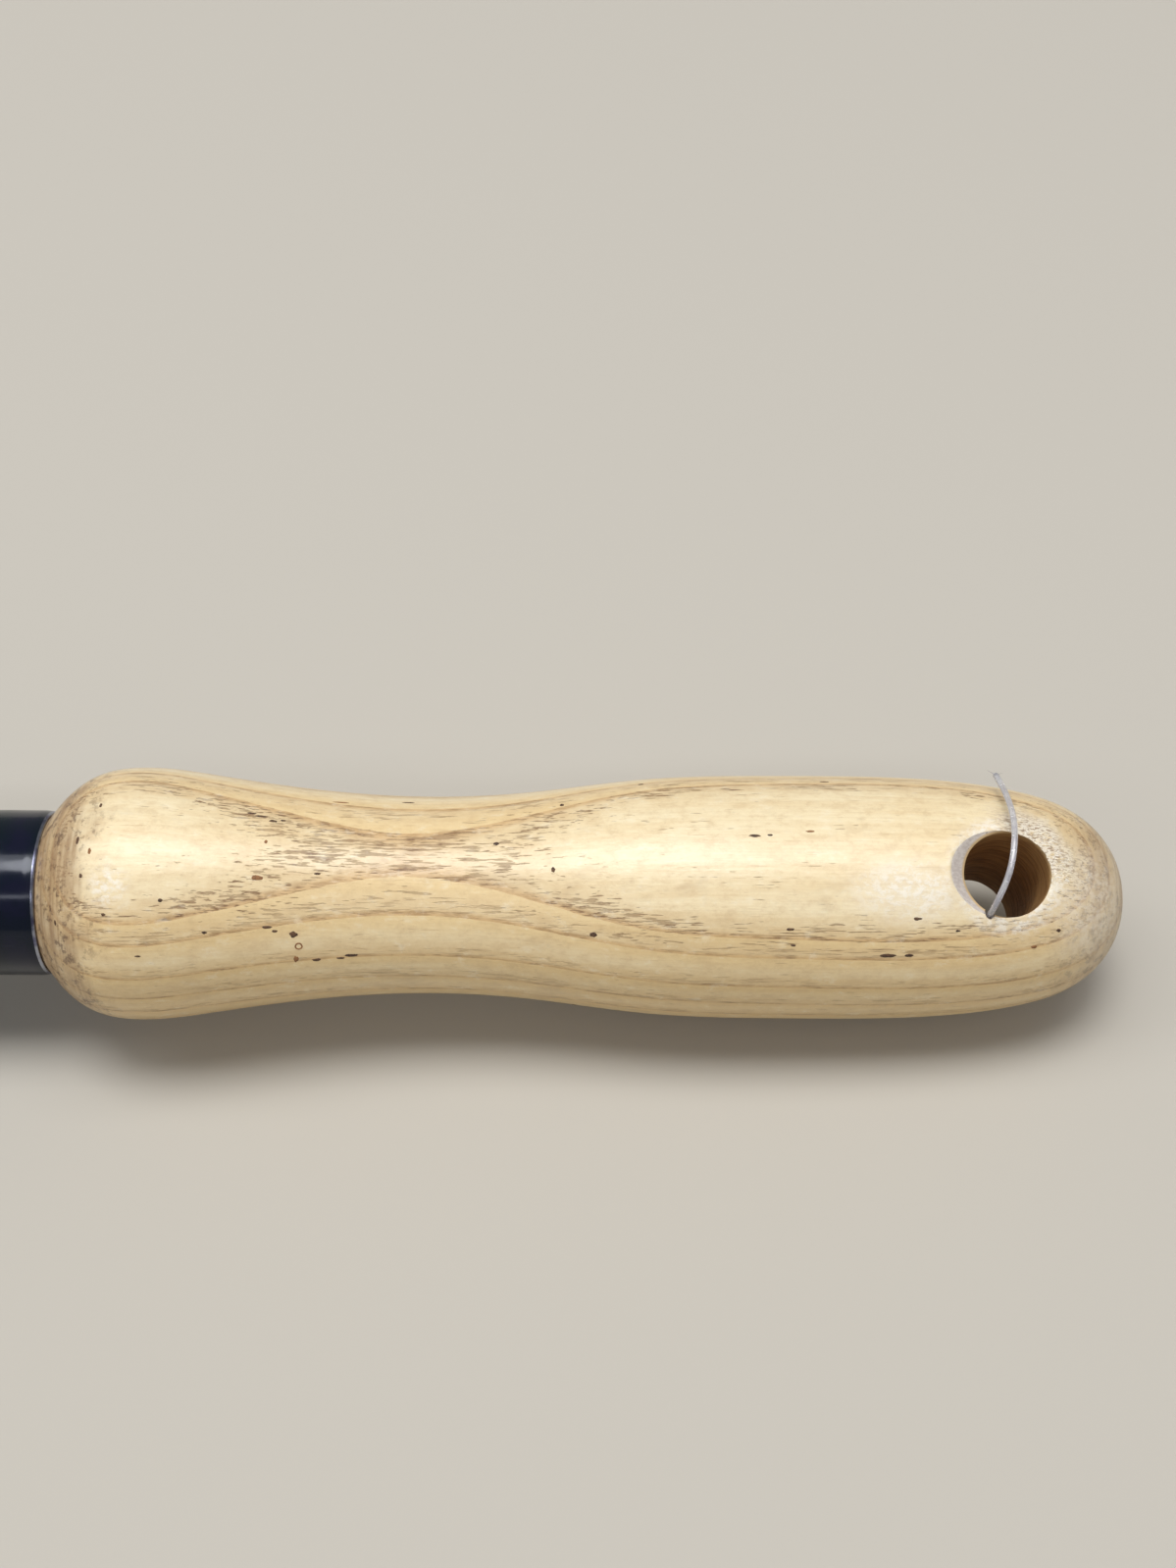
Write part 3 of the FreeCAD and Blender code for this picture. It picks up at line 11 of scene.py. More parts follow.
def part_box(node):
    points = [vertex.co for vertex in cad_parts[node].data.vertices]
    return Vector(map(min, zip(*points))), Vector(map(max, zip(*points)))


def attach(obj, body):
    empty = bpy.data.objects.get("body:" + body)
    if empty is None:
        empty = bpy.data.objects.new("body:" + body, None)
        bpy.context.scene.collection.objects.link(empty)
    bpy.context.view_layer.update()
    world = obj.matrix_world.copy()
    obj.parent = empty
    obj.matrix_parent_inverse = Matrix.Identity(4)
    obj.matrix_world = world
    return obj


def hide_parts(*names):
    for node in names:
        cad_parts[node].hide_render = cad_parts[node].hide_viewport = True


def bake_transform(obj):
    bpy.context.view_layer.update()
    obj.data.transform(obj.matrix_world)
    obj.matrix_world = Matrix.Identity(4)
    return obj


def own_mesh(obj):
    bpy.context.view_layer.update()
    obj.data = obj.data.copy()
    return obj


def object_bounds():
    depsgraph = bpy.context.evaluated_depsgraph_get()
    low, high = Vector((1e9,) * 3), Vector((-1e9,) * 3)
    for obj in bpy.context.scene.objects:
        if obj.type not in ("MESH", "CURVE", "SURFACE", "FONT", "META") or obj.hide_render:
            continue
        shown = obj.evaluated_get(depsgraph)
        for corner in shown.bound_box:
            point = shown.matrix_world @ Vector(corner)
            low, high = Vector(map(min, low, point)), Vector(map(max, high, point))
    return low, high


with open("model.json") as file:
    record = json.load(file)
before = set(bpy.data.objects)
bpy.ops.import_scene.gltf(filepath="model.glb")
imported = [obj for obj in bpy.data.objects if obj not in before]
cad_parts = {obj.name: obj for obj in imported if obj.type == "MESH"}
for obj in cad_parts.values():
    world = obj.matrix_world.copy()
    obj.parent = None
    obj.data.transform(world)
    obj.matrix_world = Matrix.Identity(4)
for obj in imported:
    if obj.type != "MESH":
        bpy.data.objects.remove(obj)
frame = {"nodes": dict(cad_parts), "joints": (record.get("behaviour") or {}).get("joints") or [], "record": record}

CAD_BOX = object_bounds()
MM = 0.001
TAU = 2 * math.pi

# ---- where things are

RECORD = frame["record"]


def joint_place(name):
    return Vector(next(j for j in frame["joints"] if j["name"] == name)["pos_m"])


PIVOT = joint_place("handle_swing")
BRUSH_AXIS = joint_place("brush_spin")
HANG = next(m for m in RECORD["mounts"] if m["name"] == "hang_hole")
HOLE = Vector(HANG["pos_m"])
ALONG = (HOLE - PIVOT).normalized()
OUT = Vector(HANG["axis"]).normalized()
OUT = OUT if OUT.z > 0 else -OUT   # out of the upper mouth
ACROSS = OUT.cross(ALONG).normalized()

HOLE_STATION = 107.5   # from the tube's rim, in mm
RIM = HOLE - ALONG * HOLE_STATION * MM


def frame_of(origin, x_axis, y_axis, z_axis):
    place = Matrix.Identity(4)
    for column, vector in enumerate((x_axis, y_axis, z_axis, origin)):
        for row in range(3):
            place[row][column] = vector[row]
    return place


GRIP_FRAME = frame_of(RIM, ALONG, ACROSS, OUT)


def add_object(name, data):
    item = bpy.data.objects.new(name, data)
    bpy.context.scene.collection.objects.link(item)
    return item


# ---- camera

LOOK_DOWN, ROLL = math.radians(49.75), math.radians(0.33)
GRIP_MIDDLE = RIM + ALONG * 61.5 * MM
CAMERA_AWAY, CAMERA_RISE, LENS_MM, SENSOR_MM = 0.2268, 0.0129, 45.03, 36

level_look = Vector((0, math.cos(LOOK_DOWN), -math.sin(LOOK_DOWN)))
look = (level_look - ALONG * level_look.dot(ALONG)).normalized()
up = (-look).cross(ALONG)
right = ALONG * math.cos(ROLL) + up * math.sin(ROLL)
up = up * math.cos(ROLL) - ALONG * math.sin(ROLL)

camera_data = bpy.data.cameras.new("camera")
camera_data.lens, camera_data.sensor_width, camera_data.sensor_fit = LENS_MM, SENSOR_MM, "AUTO"
camera_data.clip_start, camera_data.clip_end = 0.01, 60
camera = add_object("camera", camera_data)
camera.matrix_world = frame_of(GRIP_MIDDLE + up * CAMERA_RISE - look * CAMERA_AWAY, right, up, -look)
bpy.context.scene.camera = camera

# ---- shader helpers


def srgb(*channels):
    return tuple(c / 255 / 12.92 if c / 255 <= 0.04045 else ((c / 255 + 0.055) / 1.055) ** 2.4
                 for c in channels) + (1.0,)


def shade(colour, factor):
    return tuple(min(1.0, c * factor) for c in colour[:3]) + (1.0,)


class Value:
    """Something that changes over a surface. Sums, products and fades of it become nodes."""

    def __init__(self, shader, socket):
        self.shader, self.socket = shader, socket

    def __add__(self, other):
        return self.shader.math("ADD", self, other)

    def __radd__(self, other):
        return self.shader.math("ADD", other, self)

    def __sub__(self, other):
        return self.shader.math("SUBTRACT", self, other)

    def __rsub__(self, other):
        return self.shader.math("SUBTRACT", other, self)

    def __mul__(self, other):
        return self.shader.math("MULTIPLY", self, other)

    def __abs__(self):
        return self.shader.math("ABSOLUTE", self)

    def at_least(self, other):
        return self.shader.math("MAXIMUM", self, other)

    def fade(self, start, end, low=0.0, high=1.0):
        """Eases from low to high as the value goes from start to end."""
        return self.shader.node("ShaderNodeMapRange", (self, start, end, low, high), clamp=True,
                                interpolation_type="SMOOTHSTEP")


class Shader:
    """One material, built up a node at a time. Lengths inside it are in millimetres."""

    def __init__(self, name, place=Matrix.Identity(4)):
        self.material = bpy.data.materials.new(name)
        self.material.use_nodes = True
        self.tree = self.material.node_tree
        self.surface = self.tree.nodes["Principled BSDF"]
        where = self.make("ShaderNodeTexCoord")
        local = self.make("ShaderNodeMapping", vector_type="TEXTURE")
        self.tree.links.new(where.outputs["Object"], local.inputs["Vector"])
        local.inputs["Location"].default_value = place.to_translation()
        local.inputs["Rotation"].default_value = place.to_euler("XYZ")
        local.inputs["Scale"].default_value = (MM, MM, MM)
        self.place = Value(self, local.outputs[0])
        self.x, self.y, self.z = self.split(self.place)

    def make(self, kind, **settings):
        node = self.tree.nodes.new(kind)
        for key, value in settings.items():
            setattr(node, key, value)
        return node

    def feed(self, socket, value):
        if isinstance(value, Value):
            self.tree.links.new(value.socket, socket)
        elif value is not None:
            socket.default_value = value

    def node(self, kind, values, **settings):
        node = self.make(kind, **settings)
        for socket, value in zip(node.inputs, values):
            self.feed(socket, value)
        return Value(self, node.outputs[0])

    def split(self, vector):
        node = self.make("ShaderNodeSeparateXYZ")
        self.feed(node.inputs[0], vector)
        return [Value(self, socket) for socket in node.outputs]

    def math(self, operation, *values):
        return self.node("ShaderNodeMath", values, operation=operation)

    def distance(self, a, b):
        return self.math("SQRT", a * a + b * b)

    def texture(self, kind, scale, offset=(0, 0, 0)):
        """A texture node on the stretched and shifted place. One scale alone is for all three ways."""
        stretch = self.make("ShaderNodeMapping")
        self.feed(stretch.inputs["Vector"], self.place)
        stretch.inputs["Scale"].default_value = scale if isinstance(scale, tuple) else (scale,) * 3
        stretch.inputs["Location"].default_value = offset
        node = self.make(kind)
        self.tree.links.new(stretch.outputs[0], node.inputs["Vector"])
        node.inputs["Scale"].default_value = 1
        return node

    def noise(self, scale, detail=2, roughness=0.5, distortion=0, offset=(0, 0, 0)):
        node = self.texture("ShaderNodeTexNoise", scale, offset)
        node.inputs["Detail"].default_value = detail
        node.inputs["Roughness"].default_value = roughness
        node.inputs["Distortion"].default_value = distortion
        return Value(self, node.outputs["Fac"])

    def cells(self, scale, output="Distance"):
        return Value(self, self.texture("ShaderNodeTexVoronoi", scale).outputs[output])

    def mix(self, factor, a, b):
        node = self.make("ShaderNodeMix", data_type="RGBA")
        sockets = {s.identifier: s for s in node.inputs}
        for identifier, value in (("Factor_Float", factor), ("A_Color", a), ("B_Color", b)):
            self.feed(sockets[identifier], value)
        return Value(self, next(s for s in node.outputs if s.identifier == "Result_Color"))

    def layers(self, colour, *coats):
        """A colour with others laid over it in turn, each given as (how much, which)."""
        for amount, over in coats:
            colour = self.mix(amount, colour, over)
        return colour

    def bump(self, height, strength, distance_mm):
        node = self.make("ShaderNodeBump")
        node.inputs["Strength"].default_value = strength
        node.inputs["Distance"].default_value = distance_mm * MM
        self.feed(node.inputs["Height"], height)
        return Value(self, node.outputs[0])

    def finish(self, colour, roughness, normal, coat_normal=None, **plain):
        """Links the changing channels and writes the constant ones on the shader's own sockets."""
        for socket, value in (("Base Color", colour), ("Roughness", roughness), ("Normal", normal),
                              ("Coat Normal", coat_normal)):
            self.feed(self.surface.inputs[socket], value)
        for key, value in plain.items():
            self.surface.inputs[key.replace("_", " ").title().replace("Ior", "IOR")].default_value = value
        return self.material


# ---- the wood of the grip

RING_TILT, RING_TAPER = math.radians(10.5), 0.018
RING_BOUNDARIES = (-16.5, -13.3, -10.2, -7.0, -3.9, -0.6, 2.6, 5.7, 9.3, 10.98)
FIRST_RING_START, LAST_RING_WIDTH = -20.0, 6.0
BORE, SINK_START = 4.76, 12.0   # the hole's radius, and how far out its straight wall goes


def ash_wood():
    s = Shader("grip_ash", GRIP_FRAME)
    slow = s.noise((0.03, 0.09, 0.09), 1, offset=(3.1, 1.7, 0.4))
    quick = s.noise((0.5, 1.6, 1.6))
    layer = (s.z * math.cos(RING_TILT) + s.y * math.sin(RING_TILT) + (s.x - 43) * RING_TAPER
             + (slow - 0.5) * 0.24 + (quick - 0.5) * 0.13)

    # growth rings: where the ring that a place is in began, and where the next one begins
    below, above = FIRST_RING_START, RING_BOUNDARIES[0]
    steps = [b - a for a, b in zip((FIRST_RING_START, *RING_BOUNDARIES), RING_BOUNDARIES)]
    for boundary, step, next_step in zip(RING_BOUNDARIES, steps, steps[1:] + [LAST_RING_WIDTH]):
        passed = s.math("GREATER_THAN", layer, boundary)
        below = s.math("MULTIPLY_ADD", passed, step, below)
        above = s.math("MULTIPLY_ADD", passed, next_step, above)
    since, until = layer - below, above - layer
    early, seam, dense = since.fade(0.75, 1.75, 1, 0), since.fade(0.05, 0.5, 1, 0), until.fade(0, 1.7, 1, 0)

    fibre = s.noise((0.10, 3.4, 3.4), 3, 0.6)
    streak = s.noise((0.03, 0.9, 0.9), 2, 0.55, offset=(7, 2, 5))
    patches = s.noise((0.05, 0.12, 0.12), offset=(1, 8, 3))
    pore_field = s.noise((0.32, 4.0, 4.0), 2, 0.6, offset=(0, 4, 9))
    pore_cluster = s.noise((0.10, 0.40, 0.40), 2, 0.6, offset=(5, 1, 2))
    pore_level = pore_cluster.fade(0.36, 0.62, 0.60, 0.49) + since.fade(0.75, 1.8, 0, 0.16)
    pore = pore_field.fade(pore_level, pore_level + 0.07) * layer.fade(9.5, 11.0, 0.42, 1)
    late_pore = s.noise((0.32, 5.0, 5.0), 1, offset=(9, 3, 3)).fade(0.70, 0.76, 0, 0.35)
    dash = s.noise((0.33, 1.1, 1.1), 3, 0.7, offset=(2, 6, 1)).fade(0.42, 0.66)
    line = abs(since - 0.15).fade(0.02, 0.30, 1, 0) * dash
    # darker and yellower towards the lower side: partly a yellower tone of the wood, partly painted shade
    lower_side_tone_and_shade = (s.y + s.z * 0.35).fade(-15, 2, 0.52, 0)
    mottle = s.noise((0.45, 0.75, 0.75), 5, 0.72, offset=(5, 5, 2))
    colour = s.layers(
        srgb(243, 228, 192),
        (patches.fade(0.3, 0.7, 0, 0.35), srgb(238, 214, 166)),
        (dense * 0.55, srgb(232, 199, 136)),
        (early * 0.45, srgb(218, 190, 144)),
        (seam * 0.6, srgb(206, 161, 103)),
        (streak.fade(0.35, 0.68, 0, 0.26), srgb(222, 190, 138)),
        (fibre.fade(0.36, 0.66, 0, 0.20), srgb(214, 186, 142)),
        (lower_side_tone_and_shade, srgb(220, 184, 118)),
        (line * 0.55, srgb(150, 112, 72)),
        (pore * dash.fade(0, 1, 0.55, 0.9), srgb(122, 88, 56)),
        (late_pore, srgb(180, 146, 104)),
        (mottle.fade(0.46, 0.66, 0, 0.34), srgb(206, 176, 132)),
        (mottle.fade(0.30, 0.46, 0.30, 0), srgb(250, 242, 220)),
    )

    # handling: dirt that went in where the grip was turned across its grain, by the tube and at the tip
    turned_rings = s.noise((1.7, 0.05, 0.05), 3, 0.7, offset=(4, 0, 0))
    blot = s.noise((0.30, 0.16, 0.16), 4, 0.62, offset=(0, 3, 7))
    shoulder = (s.x + (blot - 0.5) * 12).fade(1.5, 9.5, 1, 0)
    tip = (s.x + (blot - 0.5) * 14).fade(112, 121)
    grime = (shoulder * 0.95).at_least(tip * 0.6) * turned_rings.fade(0.36, 0.62, 0.58, 1)
    fleck = s.noise((0.9, 0.7, 0.7), 5, 0.75, offset=(6, 2, 2)).fade(0.52, 0.63)
    fleck_zone = (s.x + blot * 9).fade(8.5, 14.5, 1, 0.06).at_least(s.x.fade(110, 119, 0.06, 0.6))
    smudge = s.noise((0.10, 0.22, 0.22), 4, 0.7, offset=(9, 9, 1)).fade(0.56, 0.72, 0, 0.28)

    # whitish, roughened patches on the dome, beside the hole and at the tip: bleached wear, and painted highlight
    # where they lie along the band in which the lamp glints
    crumbs = s.noise((1.1, 1.4, 1.4), 4, 0.7, offset=(3, 3, 6)).fade(0.40, 0.62)

    def spot(x, y, reach_x, reach_y):
        away = s.distance((s.x - x) * (1 / reach_x), (s.y - y) * (1 / reach_y))
        return away.fade(0.25, 1, 1, 0) * s.z.fade(0, 4)
    wear_and_highlight = (spot(9.4, -2.4, 3.0, 3.2) * crumbs * 0.75).at_least(
        spot(96.5, -2.2, 8.5, 4.6) * crumbs.fade(0, 1, 0.35, 1) * 0.8).at_least(
        spot(117.0, -2.5, 7.5, 8.5) * crumbs.fade(0, 1, 0.5, 1) * 0.45)

    # round the hole: lifted fibres on the side away from the tube
    dx = s.x - HOLE_STATION
    reach, heading = s.distance(dx, s.y), s.math("ARCTAN2", s.y, dx)
    torn = ((reach + (blot - 0.5) * 5).fade(6.3, 9.2, 1, 0) * heading.fade(-0.35, 0.35)
            * heading.fade(1.35, 1.95, 1, 0) * s.z.fade(0, 3))
    halo = reach.fade(5.6, 7.6, 0.8, 0) * crumbs.fade(0, 1, 0.3, 1)
    wear_and_highlight = wear_and_highlight.at_least((torn * 0.7).at_least(halo))
    torn_lines = s.noise((1.2, 4.2, 4.2), 3, 0.7, offset=(1, 2, 8))
    colour = s.layers(
        colour,
        (grime, srgb(156, 124, 90)),
        (fleck * fleck_zone * 0.75, srgb(94, 68, 50)),
        (smudge, srgb(190, 166, 132)),
        # painted highlight together with bleached wear, from the patches above
        (wear_and_highlight, srgb(247, 241, 229)),
        # dark lines in the torn patch: painted shade in the cracks between lifted fibres
        (torn * torn_lines.fade(0.48, 0.58) * 0.8, srgb(150, 118, 84)),
    )

    height = (fibre * 0.35 + pore * -0.9 + line * -0.35 + turned_rings * shoulder.at_least(tip) * 0.7
              + mottle * 0.9 + torn_lines * torn * 4.5 + crumbs * wear_and_highlight * 0.4)
    roughness = 0.34 + wear_and_highlight * 0.2 + grime * 0.16 + pore * 0.2 + (patches - 0.5) * 0.12
    return s.finish(colour, roughness, s.bump(height, 0.55, 0.10),
                    coat_weight=0.18, coat_roughness=0.3, specular_ior_level=0.5)


def bore_wood():
    s = Shader("grip_bore", GRIP_FRAME)
    rings = s.noise((0.3, 0.3, 2.2), 3, 0.6)
    fibre = s.noise((0.15, 3.0, 3.0), 3, 0.6, offset=(4, 0, 0))
    cone = s.distance(s.x - HOLE_STATION, s.y).fade(BORE + 0.10, 5.15)
    speck = s.noise(1.6, 3, 0.7, offset=(2, 5, 5)).fade(0.66, 0.72, 0, 0.7)
    wall = s.layers(srgb(186, 146, 94), (rings.fade(0.35, 0.65), srgb(146, 106, 62)),
                    (abs(s.z).fade(11.2, 12.2, 0, 0.75), srgb(226, 200, 152)))
    face = s.mix(fibre.fade(0.35, 0.65), srgb(222, 214, 208), srgb(204, 194, 188))
    colour = s.layers(wall, (cone, face), (speck, srgb(110, 84, 58)))
    return s.finish(colour, cone.fade(0, 1, 0.62, 0.5), s.bump(rings * 0.8 + fibre * 0.5, 0.6, 0.12))


# ---- metals, paints, rubbers


def plated():
    s = Shader("chrome_plate")
    cloud = s.noise(0.035, 4, 0.6)
    pits = s.noise(1.3, 3, 0.75, offset=(4, 1, 0)).fade(0.66, 0.73)
    dulled = cloud.fade(0.42, 0.7)
    hair = s.noise((0.02, 1.9, 0.9), 2, 0.6, offset=(1, 1, 1)).fade(0.62, 0.7)
    colour = s.layers((0.80, 0.81, 0.83, 1), (dulled * 0.4, (0.62, 0.62, 0.62, 1)),
                      (pits * 0.6, srgb(122, 96, 74)))
    return s.finish(colour, 0.07 + dulled * 0.16 + pits * 0.3 + hair * 0.08,
                    s.bump(pits * -0.5 + hair * -0.15 + cloud * 0.3, 0.25, 0.05), metallic=1.0)


def enamel():
    s = Shader("stoved_enamel")
    cloud = s.noise((0.012, 0.012, 0.02), 3, 0.55)
    peel = s.noise(0.42)
    scratches = s.noise((0.012, 1.1, 1.1), 2, 0.6, 0.6).fade(0.655, 0.70).at_least(
        s.noise((1.0, 0.016, 1.0), 2, 0.6, 0.5, offset=(5, 0, 3)).fade(0.665, 0.71))
    chips = s.noise((0.22, 0.22, 0.30), 4, 0.72, offset=(2, 2, 2)) + s.z.fade(17, 27, 0.135, 0)
    chipped = chips.fade(0.70, 0.715)
    chip_rim = chips.fade(0.675, 0.70) * (1.0 - chipped)
    dust = s.noise(0.06, 5, 0.7, offset=(8, 1, 1)).fade(0.42, 0.75) * 0.10
    colour = s.layers(
        (0.017, 0.035, 0.092, 1),
        (cloud.fade(0.3, 0.7), (0.028, 0.055, 0.125, 1)),
        (scratches * 0.3, (0.14, 0.17, 0.24, 1)),
        (dust * s.z.fade(30, 100, 1, 0.45), (0.30, 0.28, 0.25, 1)),
        (chip_rim, (0.10, 0.06, 0.04, 1)),
        (chipped, (0.20, 0.13, 0.09, 1)),
    )
    return s.finish(colour, 0.24 + scratches * 0.2 + chipped * 0.4 + dust * 0.9,
                    s.bump(peel * 0.35 + chipped * -1.2 + scratches * -0.3, 0.35, 0.12),
                    s.bump(peel, 0.12, 0.10), coat_weight=0.7, coat_roughness=0.07, coat_ior=1.5)


def sheet_zinc():
    s = Shader("zinc_plate")
    grain = s.split(s.cells(0.16, "Color"))[0]
    cloud = s.noise(0.05, 4, 0.65)
    stain = s.noise((0.03, 0.03, 0.06), 5, 0.7, offset=(3, 7, 1)).fade(0.55, 0.75, 0, 0.55)
    colour = s.layers((0.52, 0.53, 0.55, 1), (grain, (0.66, 0.67, 0.69, 1)), (stain, (0.36, 0.33, 0.29, 1)))
    return s.finish(colour, 0.30 + grain * 0.10 + stain * 0.35 + cloud * 0.10,
                    s.bump(grain + cloud * 1.5, 0.15, 0.08), metallic=0.92)


def steel(name, bright, dark, rough, brush=(0.05, 1.8, 1.8)):
    s = Shader(name)
    lines = s.noise(brush, 3, 0.6)
    oil = s.noise(0.05, 4, 0.65, offset=(1, 4, 2)).fade(0.4, 0.72)
    rust = s.noise(0.35, 5, 0.75, offset=(6, 0, 3)).fade(0.64, 0.74, 0, 0.6)
    return s.finish(s.layers(bright, (oil, dark), (rust, (0.22, 0.11, 0.06, 1))),
                    rough + lines * 0.16 + rust * 0.45 + oil * -0.05,
                    s.bump(lines + rust * 0.8, 0.22, 0.04), metallic=0.95)


def bronze():
    s = Shader("sintered_bronze")
    solid = s.cells(2.2).fade(0.08, 0.3)
    oil = s.noise(0.2, 3).fade(0.35, 0.7)
    oiled = s.mix(oil, (0.56, 0.40, 0.20, 1), (0.30, 0.20, 0.10, 1))
    return s.finish(s.mix(solid, (0.12, 0.08, 0.05, 1), oiled), 0.28 + oil * -0.08 + solid * 0.1,
                    s.bump(solid, 0.4, 0.06), metallic=0.9)


def blued():
    """The tubes: glossy blue-black, with the teal and violet of a thin oxide film."""
    s = Shader("blued_tube", GRIP_FRAME)
    film = s.noise((0.012, 0.10, 0.10), 3, 0.55)
    mottle = s.noise(0.22, 4, 0.65, offset=(2, 5, 1))
    rubs = s.noise((0.05, 1.1, 1.1), 4, 0.7, 0.4, offset=(3, 0, 4)).fade(0.62, 0.72)
    near_rim = abs(s.x + 2.2).fade(0.6, 3.0, 1, 0)
    colour = s.layers(
        (0.002, 0.005, 0.009, 1),
        (film.fade(0.35, 0.66), (0.003, 0.010, 0.015, 1)),
        (mottle.fade(0.5, 0.7) * 0.4, (0.014, 0.006, 0.026, 1)),
        (near_rim * mottle.fade(0.4, 0.6, 0.4, 0.9), (0.005, 0.006, 0.020, 1)),
        (rubs * 0.20, (0.06, 0.07, 0.085, 1)),
    )
    return s.finish(colour, 0.20 + near_rim * -0.09 + (mottle - 0.4) * 0.25 + rubs * 0.12,
                    s.bump(mottle * 0.5 + rubs * -0.3, 0.2, 0.04), s.bump(mottle, 0.06, 0.04),
                    coat_weight=0.16, coat_roughness=0.07, specular_ior_level=0.22,
                    specular_tint=(0.80, 0.86, 1.0, 1))


def bare_edge():
    s = Shader("rim_edge", GRIP_FRAME)
    cloud = s.noise((1.0, 0.6, 0.6), 3, 0.6)
    colour = s.mix(cloud.fade(0.35, 0.7), (0.34, 0.36, 0.42, 1), (0.12, 0.12, 0.20, 1))
    return s.finish(colour, 0.16 + cloud * 0.15, s.bump(cloud, 0.2, 0.03), metallic=1.0)


def japan():
    s = Shader("black_japan")
    cloud = s.noise(0.02, 3)
    scrapes = s.noise((0.9, 0.03, 0.9), 3, 0.7, 0.5).fade(0.60, 0.68)
    wear = s.noise(0.10, 5, 0.75, offset=(2, 8, 4)).fade(0.60, 0.68)
    dust = s.noise(0.5, 5, 0.75, offset=(1, 1, 7)).fade(0.45, 0.75, 0, 0.4)
    colour = s.layers((0.012, 0.012, 0.014, 1), (cloud, (0.03, 0.028, 0.028, 1)),
                      (scrapes * 0.5, (0.16, 0.16, 0.17, 1)), (wear * 0.6, (0.14, 0.09, 0.06, 1)),
                      (dust, (0.24, 0.22, 0.19, 1)))
    return s.finish(colour, 0.3 + dust * 0.5 + wear * 0.25,
                    s.bump(cloud * 0.6 + wear * -0.6 + scrapes * -0.4, 0.3, 0.08),
                    coat_weight=0.35, coat_roughness=0.12)


def ivory():
    s = Shader("ivory_plastic")
    flow = s.noise((0.035, 0.05, 0.05), 3, 0.55, 1.2)
    thumb = s.noise(0.06, 4, 0.65, offset=(3, 3, 3))
    grit = s.noise(1.4, 3, 0.7, offset=(6, 1, 1)).fade(0.66, 0.72, 0, 0.5)
    colour = s.layers(srgb(229, 217, 186), (flow.fade(0.3, 0.7), srgb(216, 199, 158)),
                      (thumb.fade(0.5, 0.75, 0, 0.3), srgb(176, 154, 118)), (grit, srgb(120, 104, 84)))
    return s.finish(colour, 0.22 + thumb * 0.2, s.bump(flow + thumb, 0.15, 0.1),
                    subsurface_weight=0.12, subsurface_scale=0.002, coat_weight=0.2, coat_roughness=0.15)


def rubber(name, tread=False):
    s = Shader(name)
    skin = s.noise(1.6, 4, 0.7)
    bloom = s.noise(0.05, 5, 0.7, offset=(7, 1, 2)).fade(0.40, 0.72)
    scuffs = s.noise((0.06, 0.3, 0.9), 3, 0.7, offset=(1, 3, 5)).fade(0.60, 0.72)
    colour = s.layers((0.030, 0.030, 0.032, 1), (bloom * 0.6, (0.085, 0.082, 0.078, 1)),
                      (scuffs * 0.35, (0.17, 0.16, 0.15, 1)))
    if tread:
        worn = s.distance(s.y, s.z).fade(25.6, 26.8) * skin.fade(0.3, 0.6, 0.5, 1)
        colour = s.mix(worn * 0.5, colour, (0.20, 0.19, 0.175, 1))
    return s.finish(colour, 0.52 + bloom * 0.2 + scuffs * 0.12,
                    s.bump(skin * 0.6 + scuffs * -0.4, 0.35, 0.12), specular_ior_level=0.4)


def painted_wheel():
    s = Shader("wheel_paint")
    peel = s.noise(0.6)
    chip = s.noise(0.4, 4, 0.75, offset=(3, 1, 6)).fade(0.62, 0.65)
    dirt = s.noise(0.12, 5, 0.7, offset=(5, 5, 1)).fade(0.45, 0.75, 0, 0.6)
    colour = s.layers((0.36, 0.37, 0.38, 1), (peel, (0.43, 0.43, 0.44, 1)),
                      (dirt, (0.20, 0.18, 0.155, 1)), (chip, (0.16, 0.10, 0.07, 1)))
    return s.finish(colour, 0.3 + chip * 0.3 + dirt * 0.3, s.bump(peel * 0.4 + chip * -1.0, 0.35, 0.10),
                    coat_weight=0.3, coat_roughness=0.15)


def turned_wood(name, pale, dark, rough, coat):
    """Wood whose grain runs across the sweeper, with the fine rings that a lathe leaves."""
    s = Shader(name)
    rings = s.noise((0.28, 0.012, 0.28), 2, 0.5, 1.5)
    fibre = s.noise((2.4, 0.09, 2.4), 3, 0.6)
    rays = s.noise((1.2, 0.35, 1.2), offset=(2, 2, 8)).fade(0.6, 0.68, 0, 0.5)
    lathe_lines = s.noise((0.02, 1.6, 0.02), 2, 0.6)
    dirt = s.noise((0.1, 0.05, 0.1), 5, 0.7, offset=(1, 6, 1)).fade(0.48, 0.75, 0, 0.5)
    colour = s.layers(pale, (rings.fade(0.35, 0.65), dark), (fibre.fade(0.4, 0.7, 0, 0.3), shade(dark, 0.7)),
                      (rays, shade(dark, 0.5)), (dirt, (0.10, 0.08, 0.065, 1)))
    return s.finish(colour, rough + dirt * 0.2, s.bump(fibre * 0.6 + lathe_lines * 0.5, 0.4, 0.10),
                    coat_weight=coat, coat_roughness=0.2)


def bristle_hair():
    s = Shader("brush_hair")
    strand = s.noise(1.7, 3, 0.8)
    colour = s.layers((0.022, 0.015, 0.011, 1), (strand.fade(0.32, 0.68), (0.115, 0.082, 0.055, 1)),
                      (s.distance(s.x, s.z).fade(33, 40, 0, 0.45), (0.19, 0.16, 0.125, 1)))
    return s.finish(colour, strand.fade(0.3, 0.7, 0.38, 0.6), s.bump(strand, 0.2, 0.05),
                    sheen_weight=0.15, sheen_roughness=0.4)


